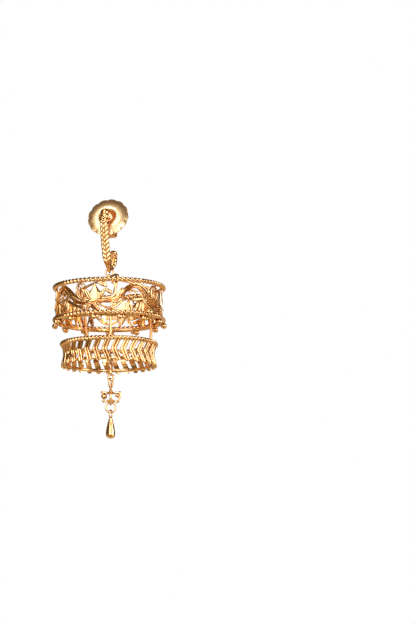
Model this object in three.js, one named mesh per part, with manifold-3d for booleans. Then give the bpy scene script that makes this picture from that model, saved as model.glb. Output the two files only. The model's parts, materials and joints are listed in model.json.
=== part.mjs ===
// A gold crown drop earring: a J-shaped ear hoop on a post with a friction back, and under it an
// openwork crown of two tiers that hangs on a jump ring and carries a small chain, bead and teardrop.
// Millimetres, +Z up. The origin is on the post, where it passes through the ear lobe. The hoop lies
// in the YZ plane, its front strand towards -Y, and the post runs back (+Y) and a little down.
import * as THREE from "three";
import { mergeVertices } from "three/addons/utils/BufferGeometryUtils.js";
import Module from "manifold-3d";

const wasm = await Module();
wasm.setup();

// ---- Driving dimensions -------------------------------------------------------------------------

// Ear hoop: its lowest point is the zero of these heights, and its front-most point of these depths.
const HOOP_DEPTH = 9.5;
const HOOP_LOWEST_DEPTH = 5.7;
const HOOP_TOP = 13.95;
const HOOP_END = 5.5;
const HOOP_HALF_WIDTH = 1.0;
const HOOP_BOTTOM_RADIUS = 0.35;

const POST_PITCH = 20; // degrees below the level, backwards
const POST_RADIUS = 0.4;
const POST_LENGTH = 9.6;
const EAR_DISTANCE = 1.9; // from the front strand to the ear hole, along the post

const CLUTCH_DISTANCE = 2.7; // from the front strand to the disc, along the post
const DISC_RADIUS = 4.7;
const DISC_SCALLOPS = 13;
const DIMPLE_RADIUS = 2.4;
const DIMPLE_DEPTH = 1.0;
const RIM_DROP = 0.45; // how far the rim lies behind the disc's front
const BORE_PLAY = 0.08;
const SHEET = 0.3;
const ROLL_RADIUS = 1.75;
const ROLL_HALF_WIDTH = 1.65;
const ROLL_HEIGHT = 2.85; // of a roll's middle, over the disc's rim
const ROLL_TURNS = 1.08;
const ROLL_TIGHTENS = 0.7; // how much nearer its middle a strip ends

const RING_INNER = 0.7;
const RING_WIRE = 0.2;
const LINK_PLAY = 0.06; // air left between two linked wires
const EYE_RADIUS = 0.51;
const EYE_WIRE = 0.24;

// Crown: heights are measured from the lowest point of the hoop, angles from the crown's front.
const CROWN_TURN = 13; // degrees from the hoop's plane, front towards +X
const BALANCE_X = 0.035; // the crown's centre of mass, beside its own axis
const BALANCE_Y = 0.062;

const UPPER_ROPE_R = 12.75;
const ROPE_WIRE = 0.575;
const UPPER_TOP = -3.97;
const UPPER_BOTTOM = -11.69;
const WALL_R = 12.35;
const BAND_INNER = 12.0;
const BAND_TOP = -11.75;
const BAND_LOW = -12.6;
const GRANULES = 13;
const GRANULE_RADIUS = 0.7;
const GRANULE_DROP = 1.12; // below the bottom rope's middle
const FIRST_GRANULE = -15.2; // degrees from the crown's front

const LOWER_ROPE_R = 11.0;
const LOWER_TOP = -17.45;
const WAIST_R = 10.45;
const WAIST = -19.85;
const HEM_R = 10.85;
const HEM = -22.1;
const HEM_INNER = 10.25;
const RIBS = 30;

const DROP_X = 0.45; // the drop hangs a little beside the crown's axis
const BAR_MIDDLE = -21.0;
const BAR_WIRE = 0.3;
const CHAIN_RADIUS = 0.85;
const BEAD_MIDDLE = -29.9;
const BEAD_RADIUS = 1.55;
const BEAD_GRANULE = 0.72;
const PLATE_HEIGHT = 0.95; // of the bead's plates, above and below its middle
const PLATE = 0.3;
const PIN_RADIUS = 0.2;
const DROP_RING_RADIUS = 1.16;
const DROP_RING_WIRE = 0.22;
const LOOP_WIRE = 0.2;
const LOOP_RADIUS = DROP_RING_WIRE + LINK_PLAY + LOOP_WIRE;
const LOOP_DROP = 1.37; // from the bead's middle to its loop's
const DROP_TOP = -35.05;
const DROP_LENGTH = 4.7;
const DROP_RADIUS = 1.1;
const PEAR_EYE_RADIUS = 0.6; // before it is drawn out into a tall oval
const PEAR_EYE_HEIGHT = 1.09; // of its middle, above the pear's top
const PEAR_EYE_WIRE = 0.17;

const ROUND_STEPS = 48; // steps round a full tier
const FREE_GAP = 0.12; // between the hanger's wires and the tiers they carry

const radians = THREE.MathUtils.degToRad;

// ---- Solids -------------------------------------------------------------------------------------

function solidOf(geometry) {
  const bare = geometry.clone();
  bare.deleteAttribute("normal");
  bare.deleteAttribute("uv");
  const merged = mergeVertices(bare, 1e-4);
  return new wasm.Manifold(
    new wasm.Mesh({
      numProp: 3,
      vertProperties: merged.getAttribute("position").array,
      triVerts: new Uint32Array(merged.index.array),
    }),
  );
}

function joined(geometries) {
  return geometries.map(solidOf).reduce((whole, next) => whole.add(next));
}

function geometryOf(solid) {
  const mesh = solid.getMesh();
  const geometry = new THREE.BufferGeometry();
  geometry.setAttribute("position", new THREE.BufferAttribute(new Float32Array(mesh.vertProperties), 3));
  geometry.setIndex(new THREE.BufferAttribute(new Uint32Array(mesh.triVerts), 1));
  geometry.computeVertexNormals();
  return geometry;
}

function gold(colour, roughness) {
  return new THREE.MeshStandardMaterial({ color: colour, roughness, metalness: 1 });
}

function named(name, geometry, material) {
  const mesh = new THREE.Mesh(geometry, material);
  mesh.name = name;
  return mesh;
}

// ---- Shapes -------------------------------------------------------------------------------------

class Path extends THREE.Curve {
  constructor(placeAt) {
    super();
    this.placeAt = placeAt;
  }
  getPoint(t, target = new THREE.Vector3()) {
    return target.copy(this.placeAt(t));
  }
}

// A flat polygon whose corners lie on an ellipse.
function ovalSection(halfX, halfY, sides) {
  const shape = new THREE.Shape();
  for (let i = 0; i < sides; i++) {
    const turn = ((i + 0.5) / sides) * 2 * Math.PI;
    shape[i ? "lineTo" : "moveTo"](halfX * Math.cos(turn), halfY * Math.sin(turn));
  }
  shape.closePath();
  return shape;
}

// A section drawn out straight and then bent along a curve. Its x stays on the direction sideAt
// gives, its y is square to that, and sizeAt swells or narrows it.
function sweep(section, curve, steps, sideAt, sizeAt = () => 1) {
  const bar = new THREE.ExtrudeGeometry(section, { depth: 1, steps, bevelEnabled: false });
  const corners = bar.getAttribute("position");
  for (let i = 0; i < corners.count; i++) {
    const along = corners.getZ(i);
    const centre = curve.getPoint(along);
    const ahead = curve.getTangent(along);
    const side = sideAt(centre).normalize();
    const across = new THREE.Vector3().crossVectors(ahead, side).normalize();
    const size = sizeAt(along);
    centre.addScaledVector(side, corners.getX(i) * size);
    centre.addScaledVector(across, corners.getY(i) * size);
    corners.setXYZ(i, centre.x, centre.y, centre.z);
  }
  return bar;
}

function onWall(degrees, height, radius) {
  const turn = radians(degrees);
  return new THREE.Vector3(radius * Math.sin(turn), -radius * Math.cos(turn), height);
}

function outward(place) {
  return new THREE.Vector3(place.x, place.y, 0);
}

// A wire lying on a round wall through the given [degrees, height] places.
function wallWire(places, radius, halfDepth, halfWidth, steps, turnBy) {
  const curve = new THREE.CatmullRomCurve3(places.map(([deg, z]) => onWall(deg + turnBy, z, radius)));
  return sweep(ovalSection(halfDepth * Math.SQRT2, halfWidth * Math.SQRT2, 4), curve, steps, outward);
}

// A flat leaf with a pointed tip, bent onto a round wall: foot and tip are [degrees, height] places.
function wallLeaf(foot, tip, halfWidth, radius, thickness, turnBy) {
  const start = new THREE.Vector2(radians(foot[0]) * radius, foot[1]);
  const end = new THREE.Vector2(radians(tip[0]) * radius, tip[1]);
  const side = end.clone().sub(start);
  side.set(side.y, -side.x).setLength(halfWidth);
  const belly = start.clone().lerp(end, 0.4);
  const shape = new THREE.Shape();
  shape.moveTo(start.x, start.y);
  shape.quadraticCurveTo(belly.x + side.x * 2, belly.y + side.y * 2, end.x, end.y);
  shape.quadraticCurveTo(belly.x - side.x * 2, belly.y - side.y * 2, start.x, start.y);
  const flat = { depth: thickness, bevelEnabled: false, curveSegments: 2 };
  const plate = new THREE.ExtrudeGeometry(shape, flat);
  const corners = plate.getAttribute("position");
  for (let i = 0; i < corners.count; i++) {
    const turn = THREE.MathUtils.radToDeg(corners.getX(i) / radius) + turnBy;
    const place = onWall(turn, corners.getY(i), radius - thickness / 2 + corners.getZ(i));
    corners.setXYZ(i, place.x, place.y, place.z);
  }
  return plate;
}

// A level ring of round wire.
function levelRing(radius, wire, height, sides = 6) {
  return new THREE.TorusGeometry(radius, wire, sides, ROUND_STEPS).translate(0, 0, height);
}

// A level band of flat metal.
function levelBand(inner, outer, low, high) {
  const corners = [
    [inner, low],
    [outer, low],
    [outer, high],
    [inner, high],
    [inner, low],
  ].map(([r, z]) => new THREE.Vector2(r, z));
  return new THREE.LatheGeometry(corners, ROUND_STEPS).rotateX(Math.PI / 2);
}

function ball(radius, place) {
  return new THREE.OctahedronGeometry(radius * 1.04, 1).translate(place.x, place.y, place.z);
}

// ---- Ear hoop and post --------------------------------------------------------------------------

// Depths and heights of the hoop's centre line, from the top of its front strand round to its end.
const hoopLine = new THREE.CatmullRomCurve3(
  [
    [1.0, HOOP_TOP + 0.3],
    [0.25, 11.2],
    [1.1, 7.6],
    [2.4, 4.2],
    [3.9, 1.3],
    [HOOP_LOWEST_DEPTH, 0],
    [7.7, 1.0],
    [9.1, 3.0],
    [HOOP_DEPTH, HOOP_END],
  ].map(([depth, height]) => new THREE.Vector3(0, depth - HOOP_LOWEST_DEPTH, height)),
);

// Thin where the jump ring hangs, full at the top of the front strand, nearly full at the free end.
// Both ends are drawn in a little.
function hoopSize(t) {
  const lowest = 0.66;
  const reach = Math.min(1, Math.abs(t - lowest) / 0.26);
  const full = t < lowest ? 1 : 0.86;
  const slim = HOOP_BOTTOM_RADIUS / HOOP_HALF_WIDTH;
  const grown = slim + (full - slim) * reach * reach * (3 - 2 * reach);
  return t < 0.03 || t > 0.97 ? grown * 0.7 : grown;
}

const POST_DEPTH = 1.0; // where the post leaves the front strand
const postStart = new THREE.Vector3(0, POST_DEPTH - HOOP_LOWEST_DEPTH, HOOP_TOP);
const postWay = new THREE.Vector3(0, Math.cos(radians(POST_PITCH)), -Math.sin(radians(POST_PITCH)));

// A shape made round the Z axis is laid along the post, its zero at the given distance.
function alongPost(geometry, distance) {
  geometry.applyQuaternion(new THREE.Quaternion().setFromUnitVectors(new THREE.Vector3(0, 0, 1), postWay));
  const place = postStart.clone().addScaledVector(postWay, distance);
  return geometry.translate(place.x, place.y, place.z);
}

function earHoop() {
  const strand = sweep(
    ovalSection(HOOP_HALF_WIDTH, HOOP_HALF_WIDTH * 0.7, 8),
    hoopLine,
    30,
    () => new THREE.Vector3(1, 0, 0),
    hoopSize,
  );
  const tip = POST_RADIUS * 0.5;
  const notch = POST_LENGTH - 1.6;
  const profile = [
    [0, 0],
    [POST_RADIUS, 0],
    [POST_RADIUS, notch],
    [POST_RADIUS * 0.75, notch + 0.2],
    [POST_RADIUS, notch + 0.5],
    [POST_RADIUS, POST_LENGTH - tip],
    [tip, POST_LENGTH],
    [0, POST_LENGTH],
  ].map(([r, h]) => new THREE.Vector2(r, h));
  const post = alongPost(new THREE.LatheGeometry(profile, 12).rotateX(Math.PI / 2), 0);
  return geometryOf(joined([strand, post]));
}

// ---- Friction back ------------------------------------------------------------------------------

function scalloped(geometry) {
  const corners = geometry.getAttribute("position");
  for (let i = 0; i < corners.count; i++) {
    const x = corners.getX(i);
    const y = corners.getY(i);
    const reach = Math.hypot(x, y) / DISC_RADIUS;
    const swell = 1 + 0.035 * reach ** 4 * Math.cos(DISC_SCALLOPS * Math.atan2(y, x));
    corners.setXY(i, x * swell, y * swell);
  }
  return geometry;
}

function earBack() {
  const bore = POST_RADIUS + BORE_PLAY;
  const front = [
    [bore, DIMPLE_DEPTH],
    [DIMPLE_RADIUS - 0.7, DIMPLE_DEPTH - 0.1],
    [DIMPLE_RADIUS, 0.1],
    [DIMPLE_RADIUS + 0.6, 0],
    [DISC_RADIUS, RIM_DROP],
  ];
  const back = front.map(([r, h]) => [r, h + SHEET]).reverse();
  const profile = [...front, ...back, front[0]].map(([r, h]) => new THREE.Vector2(r, h));
  const disc = scalloped(new THREE.LatheGeometry(profile, DISC_SCALLOPS * 3).rotateX(Math.PI / 2));
  const middle = bore + SHEET + ROLL_RADIUS;
  const seatHeight = ROLL_HEIGHT - ROLL_RADIUS;
  const strip = ovalSection(ROLL_HALF_WIDTH * Math.SQRT2, SHEET * 0.5 * Math.SQRT2, 4);
  // Each strip runs out behind the disc and rolls back on itself until it grips the post.
  const rolls = [1, -1].map((way) => {
    const line = new Path((t) => {
      const turn = (t * ROLL_TURNS - 0.25) * 2 * Math.PI;
      const reach = ROLL_RADIUS - ROLL_TIGHTENS * t;
      const aside = way * (middle + reach * Math.cos(turn));
      return new THREE.Vector3(0, aside, ROLL_HEIGHT + reach * Math.sin(turn));
    });
    return sweep(strip, line, 22, () => new THREE.Vector3(1, 0, 0));
  });
  const seat = new THREE.BoxGeometry(2 * ROLL_HALF_WIDTH, 2 * middle, SHEET).translate(0, 0, seatHeight);
  const hole = new THREE.CylinderGeometry(bore, bore, 8, 12).rotateX(Math.PI / 2);
  const clutch = joined([disc, seat, ...rolls]).subtract(solidOf(hole));
  return alongPost(geometryOf(clutch), CLUTCH_DISTANCE);
}

// ---- Jump ring and hanger -----------------------------------------------------------------------

const ringMiddle = HOOP_BOTTOM_RADIUS + LINK_PLAY - RING_INNER;
const eyeMiddle = ringMiddle - RING_INNER - RING_WIRE;

function jumpRing() {
  return new THREE.TorusGeometry(RING_INNER + RING_WIRE, RING_WIRE, 6, 20)
    .rotateX(Math.PI / 2)
    .translate(0, 0, ringMiddle);
}

// Three legs spread from the eye and bend down over the top rope. A strut runs from each, down inside
// the wall to the lower tier. Their places are the share of the lean, the radius and the height.
const HANGER_WIRES = [10, 127, -144]; // degrees from the crown's front
const STRUT_LEAN = 7; // degrees that a strut turns back on its way down
const LEG_WIRE = 0.28;
const STRUT_WIRE = 0.36;
const STRUT_R = BAND_INNER - STRUT_WIRE - FREE_GAP;
const ROPE_TURN = ROPE_WIRE + LEG_WIRE + FREE_GAP; // from the rope's middle to a leg's

const LEG_PLACES = [
  [0, 0.3, eyeMiddle - EYE_RADIUS],
  [0, 3.2, -1.75],
  [0, 7.2, -2.05],
  [0, 10.4, -2.55],
  [0, UPPER_ROPE_R - 0.5, UPPER_TOP + ROPE_TURN + 0.08],
  [0, UPPER_ROPE_R + ROPE_TURN * 0.78, UPPER_TOP + ROPE_TURN * 0.78],
  [0, UPPER_ROPE_R + ROPE_TURN + 0.06, UPPER_TOP],
];

const STRUT_PLACES = [
  [0, STRUT_R - 0.65, -2.62],
  [0, STRUT_R - 0.15, -3.2],
  [0.08, STRUT_R, -4.9],
  [0.7, STRUT_R, -9.6],
  [0.95, STRUT_R - 0.1, -13.4],
  [1, LOWER_ROPE_R, LOWER_TOP + ROPE_WIRE + FREE_GAP],
];

// The eye hangs over the crown's centre of mass, so the first places of a leg, up to the given number,
// are drawn aside towards it, each less than the one before.
function hangerWire(degrees, places, wire, steps, drawn = 0) {
  const points = places.map(([lean, radius, height], i) => {
    const pull = Math.max(0, drawn - i) / (drawn || 1);
    const point = onWall(degrees - lean * STRUT_LEAN, height, radius);
    return point.add(new THREE.Vector3(BALANCE_X * pull, BALANCE_Y * pull, 0));
  });
  const beside = new THREE.Vector3(Math.cos(radians(degrees)), Math.sin(radians(degrees)), 0);
  return sweep(ovalSection(wire, wire, 6), new THREE.CatmullRomCurve3(points), steps, () => beside.clone());
}

function hanger() {
  const eye = new THREE.TorusGeometry(EYE_RADIUS, EYE_WIRE, 6, 14)
    .rotateX(Math.PI / 2)
    .rotateZ(Math.PI / 2 - radians(CROWN_TURN))
    .translate(BALANCE_X, BALANCE_Y, eyeMiddle);
  const legs = HANGER_WIRES.map((degrees) => hangerWire(degrees, LEG_PLACES, LEG_WIRE, 14, 4));
  const struts = HANGER_WIRES.map((degrees) => hangerWire(degrees, STRUT_PLACES, STRUT_WIRE, 12));
  return geometryOf(joined([eye, ...legs, ...struts]));
}

// ---- Upper tier ---------------------------------------------------------------------------------

// The lotus vine repeats four times round the wall. Angles are from the crown's front.
const REPEATS = 4;
const CREST_ANGLE = 34;
const CREST = -4.85;
const WAVE_DROP = 4.3;

// The main vine swings between the two ropes: narrow crests, broad troughs.
function vineHeight(degrees) {
  const swing = Math.abs(Math.sin((radians(degrees - CREST_ANGLE) * REPEATS) / 2));
  return CREST - WAVE_DROP * swing ** 1.5;
}

// Wires of one repeat: places as [degrees, height], half width, steps.
const VINE_WIRES = [
  { part: "stem", half: 0.24, steps: 15,
    places: [[-13, -9.2], [-6, -10], [2, -10.6], [11, -10], [18, -8.7],
      [25, -8.2], [38, -8.2], [48, -9.4], [66, -11.2]] },
  { part: "left scroll", half: 0.22, steps: 8,
    places: [[-27, -4.1], [-33, -5.1], [-36, -6.6], [-33, -8.1], [-25, -8.7]] },
  { part: "right scroll", half: 0.22, steps: 7,
    places: [[0, -4.1], [5.5, -5.2], [6.5, -6.6], [1, -7.9], [-9, -8.3]] },
  { part: "ring bar", half: 0.2, steps: 5, places: [[24, -6.4], [34, -6.25], [46, -6.9]] },
  { part: "fan rib", half: 0.2, steps: 2, places: [[23, -8.4], [27.5, -11.4]] },
  { part: "fan rib", half: 0.2, steps: 2, places: [[35, -8.2], [30, -11.4]] },
  { part: "fan rib", half: 0.2, steps: 2, places: [[42.5, -8.7], [41, -11.4]] },
];

// Leaves of one repeat: foot and tip as [degrees, height], half width.
const VINE_LEAVES = [
  { part: "lotus petal", foot: [-14.5, -9.0], tip: [-14.5, -4.9], half: 1.15 },
  { part: "left petal", foot: [-17, -8.8], tip: [-27, -5.9], half: 0.7 },
  { part: "right petal", foot: [-12, -8.8], tip: [3, -5.6], half: 0.75 },
  { part: "top leaf", foot: [-12.5, -4.0], tip: [0, -5.9], half: 0.6 },
  { part: "low leaf", foot: [-14, -9.2], tip: [-19, -11.4], half: 0.7 },
  { part: "fan leaf", foot: [39, -8.3], tip: [34, -11.5], half: 0.5 },
  { part: "fan leaf", foot: [46, -8.9], tip: [50, -11.5], half: 0.55 },
];

const VINE_RINGS = [[28, -7.2], [41, -7.25]]; // [degrees, height]
const VINE_RING_RADIUS = 0.68;
const VINE_RING_WIRE = 0.2;

function vineRepeat(turnBy) {
  const half = 360 / REPEATS / 2;
  const crest = [];
  for (let i = 0; i <= 12; i++) {
    const degrees = CREST_ANGLE - half + (i / 12) * 2 * half;
    crest.push([degrees, vineHeight(degrees)]);
  }
  const vine = wallWire(crest, WALL_R, 0.38, 0.58, 18, turnBy);
  const wires = VINE_WIRES.map(({ places, half: width, steps }) =>
    wallWire(places, WALL_R, 0.3, width, steps, turnBy),
  );
  const leaves = VINE_LEAVES.map(({ foot, tip, half: width }) =>
    wallLeaf(foot, tip, width, WALL_R, 0.5, turnBy),
  );
  const rings = VINE_RINGS.map(([degrees, height]) => {
    const place = onWall(degrees + turnBy, height, WALL_R);
    return new THREE.TorusGeometry(VINE_RING_RADIUS, VINE_RING_WIRE, 4, 9)
      .rotateX(Math.PI / 2)
      .rotateZ(radians(degrees + turnBy))
      .translate(place.x, place.y, place.z);
  });
  return [vine, ...wires, ...leaves, ...rings];
}

function upperTier() {
  const solids = [
    levelRing(UPPER_ROPE_R, ROPE_WIRE, UPPER_TOP),
    levelRing(UPPER_ROPE_R, ROPE_WIRE, UPPER_BOTTOM),
    levelBand(BAND_INNER, WALL_R, BAND_LOW, BAND_TOP),
  ];
  for (let i = 0; i < REPEATS; i++) solids.push(...vineRepeat((i * 360) / REPEATS));
  for (let i = 0; i < GRANULES; i++) {
    const degrees = FIRST_GRANULE + (i * 360) / GRANULES;
    solids.push(ball(GRANULE_RADIUS, onWall(degrees, UPPER_BOTTOM - GRANULE_DROP, UPPER_ROPE_R + 0.2)));
  }
  return geometryOf(joined(solids));
}

// ---- Lower tier ---------------------------------------------------------------------------------

const RIB_HALF = 0.6;
const RIB_LEAN = 5.5; // degrees that each half of a rib leans

// A rib leans one way in front and the other way behind, and stands straighter at the two sides.
function ribLean(degrees) {
  return RIB_LEAN * THREE.MathUtils.clamp(2.5 * Math.cos(radians(degrees)), -1, 1);
}

// A bent rib: down and aside to the waist, then down and back again to the hem, past the band.
function rib(degrees) {
  const top = onWall(degrees, LOWER_TOP - 0.3, LOWER_ROPE_R - 0.15);
  const waist = onWall(degrees - ribLean(degrees), WAIST, WAIST_R);
  const hem = onWall(degrees + 0.5, HEM - 0.75, HEM_R + 0.05);
  const line = new Path((t) =>
    t < 0.5 ? top.clone().lerp(waist, 2 * t) : waist.clone().lerp(hem, 2 * t - 1),
  );
  return sweep(ovalSection(0.25 * Math.SQRT2, RIB_HALF * Math.SQRT2, 4), line, 2, outward);
}

function lowerTier() {
  const reach = Math.sqrt(HEM_INNER ** 2 - DROP_X ** 2) + 0.15;
  const bar = new Path((t) => {
    const y = (2 * t - 1) * reach;
    return new THREE.Vector3(DROP_X, y, BAR_MIDDLE - (BAR_MIDDLE - HEM) * (y / reach) ** 2);
  });
  const solids = [
    levelRing(LOWER_ROPE_R, ROPE_WIRE, LOWER_TOP),
    levelBand(HEM_INNER, HEM_R - 0.2, HEM - 0.38, HEM + 0.38),
    sweep(ovalSection(BAR_WIRE, BAR_WIRE, 6), bar, 8, () => new THREE.Vector3(1, 0, 0)),
  ];
  for (let i = 0; i < RIBS; i++) solids.push(rib((i * 360) / RIBS + 1));
  return geometryOf(joined(solids));
}

// ---- Drop ---------------------------------------------------------------------------------------

// The chain's links fill one straight tube, from the bar to the bead.
function dropChain() {
  const top = new THREE.Vector3(DROP_X, 0, BAR_MIDDLE - BAR_WIRE - 0.3);
  const low = new THREE.Vector3(DROP_X, 0, BEAD_MIDDLE + PLATE_HEIGHT + PLATE);
  const tube = { steps: 4, bevelEnabled: false, extrudePath: new THREE.LineCurve3(low, top) };
  return new THREE.ExtrudeGeometry(ovalSection(CHAIN_RADIUS, CHAIN_RADIUS, 8), tube);
}

// A small cage: two plates, a large granule to either side between them, a post before and behind, and
// a loop below.
function flowerBead() {
  const plate = new THREE.CylinderGeometry(BEAD_RADIUS, BEAD_RADIUS, PLATE, 12).rotateX(Math.PI / 2);
  const post = new THREE.CylinderGeometry(PIN_RADIUS, PIN_RADIUS, 2 * PLATE_HEIGHT, 6).rotateX(Math.PI / 2);
  const stretch = (PLATE_HEIGHT - PLATE / 4) / BEAD_GRANULE;
  const loop = new THREE.TorusGeometry(LOOP_RADIUS, LOOP_WIRE, 6, 12).rotateY(Math.PI / 2);
  const solids = [
    plate.clone().translate(0, 0, PLATE_HEIGHT),
    plate.translate(0, 0, -PLATE_HEIGHT),
    loop.translate(0, 0, -LOOP_DROP),
  ];
  for (const way of [1, -1]) {
    const granule = ball(BEAD_GRANULE, new THREE.Vector3()).scale(1, 1, stretch);
    solids.push(granule.translate(way * BEAD_RADIUS, 0, 0));
    solids.push(post.clone().translate(0, way * BEAD_RADIUS * 0.5, 0));
  }
  return geometryOf(joined(solids)).translate(DROP_X, 0, BEAD_MIDDLE);
}

// The ring's wire passes through the middle of the bead's loop.
const dropRingMiddle = BEAD_MIDDLE - LOOP_DROP - DROP_RING_RADIUS;

function dropRing() {
  return new THREE.TorusGeometry(DROP_RING_RADIUS, DROP_RING_WIRE, 6, 20)
    .rotateX(Math.PI / 2)
    .translate(DROP_X, 0, dropRingMiddle);
}

// A slim pear with a blunt lower end and an eye on top, through which the ring's wire passes.
function teardrop() {
  const widest = 0.7; // of the length, from the top
  const neck = 0.5 * DROP_RADIUS;
  const profile = [[0, 0]];
  for (let i = 0; i <= 9; i++) {
    const t = i / 10;
    const swell = Math.sin(Math.min(1, t / widest) * (Math.PI / 2)) ** 1.3;
    const close = Math.sqrt(1 - Math.max(0, (t - widest) / (1 - widest)) ** 2);
    profile.push([(neck + (DROP_RADIUS - neck) * swell) * close, -DROP_LENGTH * t]);
  }
  profile.push([0, -DROP_LENGTH]);
  const points = profile.map(([r, h]) => new THREE.Vector2(r, h)).reverse();
  const pear = new THREE.LatheGeometry(points, 12).rotateX(Math.PI / 2);
  const eye = new THREE.TorusGeometry(PEAR_EYE_RADIUS, PEAR_EYE_WIRE, 6, 14)
    .rotateY(Math.PI / 2)
    .scale(1, 0.8, 1.6)
    .translate(0, 0, PEAR_EYE_HEIGHT);
  return geometryOf(joined([pear, eye])).translate(DROP_X, 0, DROP_TOP);
}

// ---- Assembly -----------------------------------------------------------------------------------

const warmGold = gold(0xd9a04a, 0.22);
const paleGold = gold(0xe8c07a, 0.38);

const crown = new THREE.Group();
crown.rotation.z = radians(CROWN_TURN);
crown.add(
  named("hanger", hanger(), warmGold),
  named("upper_tier", upperTier(), warmGold),
  named("lower_tier", lowerTier(), warmGold),
  named("drop_chain", dropChain(), warmGold),
  named("flower_bead", flowerBead(), warmGold),
  named("drop_ring", dropRing(), warmGold),
  named("teardrop", teardrop(), warmGold),
);
// The crown's centre of mass hangs straight under the jump ring.
crown.position.copy(new THREE.Vector3(-BALANCE_X, -BALANCE_Y, 0).applyEuler(crown.rotation));

const earring = new THREE.Group();
earring.add(
  named("ear_hoop", earHoop(), warmGold),
  named("ear_back", earBack(), paleGold),
  named("jump_ring", jumpRing(), warmGold),
  crown,
);
const earHole = postStart.clone().addScaledVector(postWay, EAR_DISTANCE);
earring.position.copy(earHole).negate();

const model = new THREE.Group();
model.add(earring);
export default model;
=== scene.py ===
"""A gold crown drop earring, laid out as an add-on: one operator for each piece, and one for the stage.

Shapes are worked out in millimetres and written to the meshes in metres. Places on the crown are given as
an angle from its front, a height from the hoop's lowest point, where the crown hangs, and a radius from its
axis. The crown's pierced wall is drawn as a flat pattern of arc and height, and then bent round.
"""

import json

import bpy
import numpy as np
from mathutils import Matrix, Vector


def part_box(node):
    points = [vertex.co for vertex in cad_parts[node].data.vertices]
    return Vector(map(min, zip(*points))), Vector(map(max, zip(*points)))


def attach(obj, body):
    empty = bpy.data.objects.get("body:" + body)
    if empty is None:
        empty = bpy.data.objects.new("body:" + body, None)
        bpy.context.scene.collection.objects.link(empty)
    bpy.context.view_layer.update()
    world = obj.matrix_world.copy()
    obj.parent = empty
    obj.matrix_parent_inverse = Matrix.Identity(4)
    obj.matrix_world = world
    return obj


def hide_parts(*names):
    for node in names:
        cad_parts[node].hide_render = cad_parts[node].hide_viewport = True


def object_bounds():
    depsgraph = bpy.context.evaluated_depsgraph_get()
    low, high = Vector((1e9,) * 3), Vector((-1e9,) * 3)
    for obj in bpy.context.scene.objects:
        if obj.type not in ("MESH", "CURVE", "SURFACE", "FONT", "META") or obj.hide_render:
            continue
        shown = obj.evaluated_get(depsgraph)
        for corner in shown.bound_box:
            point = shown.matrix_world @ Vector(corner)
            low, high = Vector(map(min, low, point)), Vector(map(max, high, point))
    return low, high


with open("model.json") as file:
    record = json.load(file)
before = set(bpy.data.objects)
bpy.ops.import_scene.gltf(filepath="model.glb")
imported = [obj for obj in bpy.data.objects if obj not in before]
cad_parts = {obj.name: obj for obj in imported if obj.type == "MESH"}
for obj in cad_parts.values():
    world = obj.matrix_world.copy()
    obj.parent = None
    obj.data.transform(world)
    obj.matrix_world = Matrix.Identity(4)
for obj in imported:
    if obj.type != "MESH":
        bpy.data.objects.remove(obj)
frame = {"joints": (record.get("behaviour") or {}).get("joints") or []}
CAD_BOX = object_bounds()

bl_info = {
    "name": "Gold Crown Drop Earring",
    "version": (1, 0, 0),
    "blender": (4, 5, 0),
    "location": "3D View > Sidebar > Earring",
    "description": "Builds a gold crown drop earring piece by piece",
    "category": "Add Mesh",
}

MM = 0.001

# ---- What the frame gives ----

JOINTS = {joint["name"]: joint for joint in frame["joints"]}
HINGE = np.array(JOINTS["ring_swing"]["pos_m"]) / MM  # the hoop's lowest point, in the middle of its wire
RING_SEAT = np.array(JOINTS["crown_rock"]["pos_m"]) / MM  # the lowest point of the jump ring's wire
POST_WAY = np.array(JOINTS["clutch_slide"]["axis"])


def node_box(name):
    """Lowest and highest corner of a CAD node, in millimetres."""
    low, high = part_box(name)
    return np.array(low) / MM, np.array(high) / MM


LOWER_LOW, LOWER_HIGH = node_box("lower_tier")
CROWN_AXIS = (LOWER_LOW + LOWER_HIGH)[:2] / 2
CROWN_TURN = np.radians(13.0)  # the crown's front is turned this far towards +X


# ---- Sizes and colours a user would change ----


def length(name, millimetres, text):
    """A length property in metres, given in millimetres."""
    return bpy.props.FloatProperty(
        name=name, description=text, default=millimetres * MM, min=0.0, unit="LENGTH", precision=5
    )


def count(name, number, text):
    """A whole-number property."""
    return bpy.props.IntProperty(name=name, description=text, default=number, min=1)


def colour(name, value, text):
    """A colour property."""
    return bpy.props.FloatVectorProperty(
        name=name, description=text, default=value, subtype="COLOR", size=3, min=0.0, max=1.0
    )


def share(name, value, text):
    """A number from 0 to 1."""
    return bpy.props.FloatProperty(
        name=name, description=text, default=value, min=0.0, max=1.0, subtype="FACTOR"
    )


def bearing(name, degrees, text):
    """An angle property, given in degrees."""
    return bpy.props.FloatProperty(name=name, description=text, default=np.radians(degrees), subtype="ANGLE")


class EarringHoopSizes(bpy.types.PropertyGroup):
    """Sizes of the ear hoop, its post and its friction back"""

    half_width: length("Half width", 1.04, "Half the width of the hoop's plait")
    slim: length("Slim half width", 0.36, "Half the width where the jump ring hangs")
    pitch: length("Chevron pitch", 1.03, "Length of the hoop from one chevron to the next")
    post_radius: length("Post radius", 0.4, "Radius of the ear post")
    post_length: length("Post length", 9.6, "Length of the ear post")
    disc_radius: length("Disc radius", 4.85, "Radius of the friction back's disc")
    sheet: length("Sheet", 0.3, "Thickness of the friction back's sheet")
    scallops: count("Scallops", 13, "Scallops round the disc")


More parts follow.
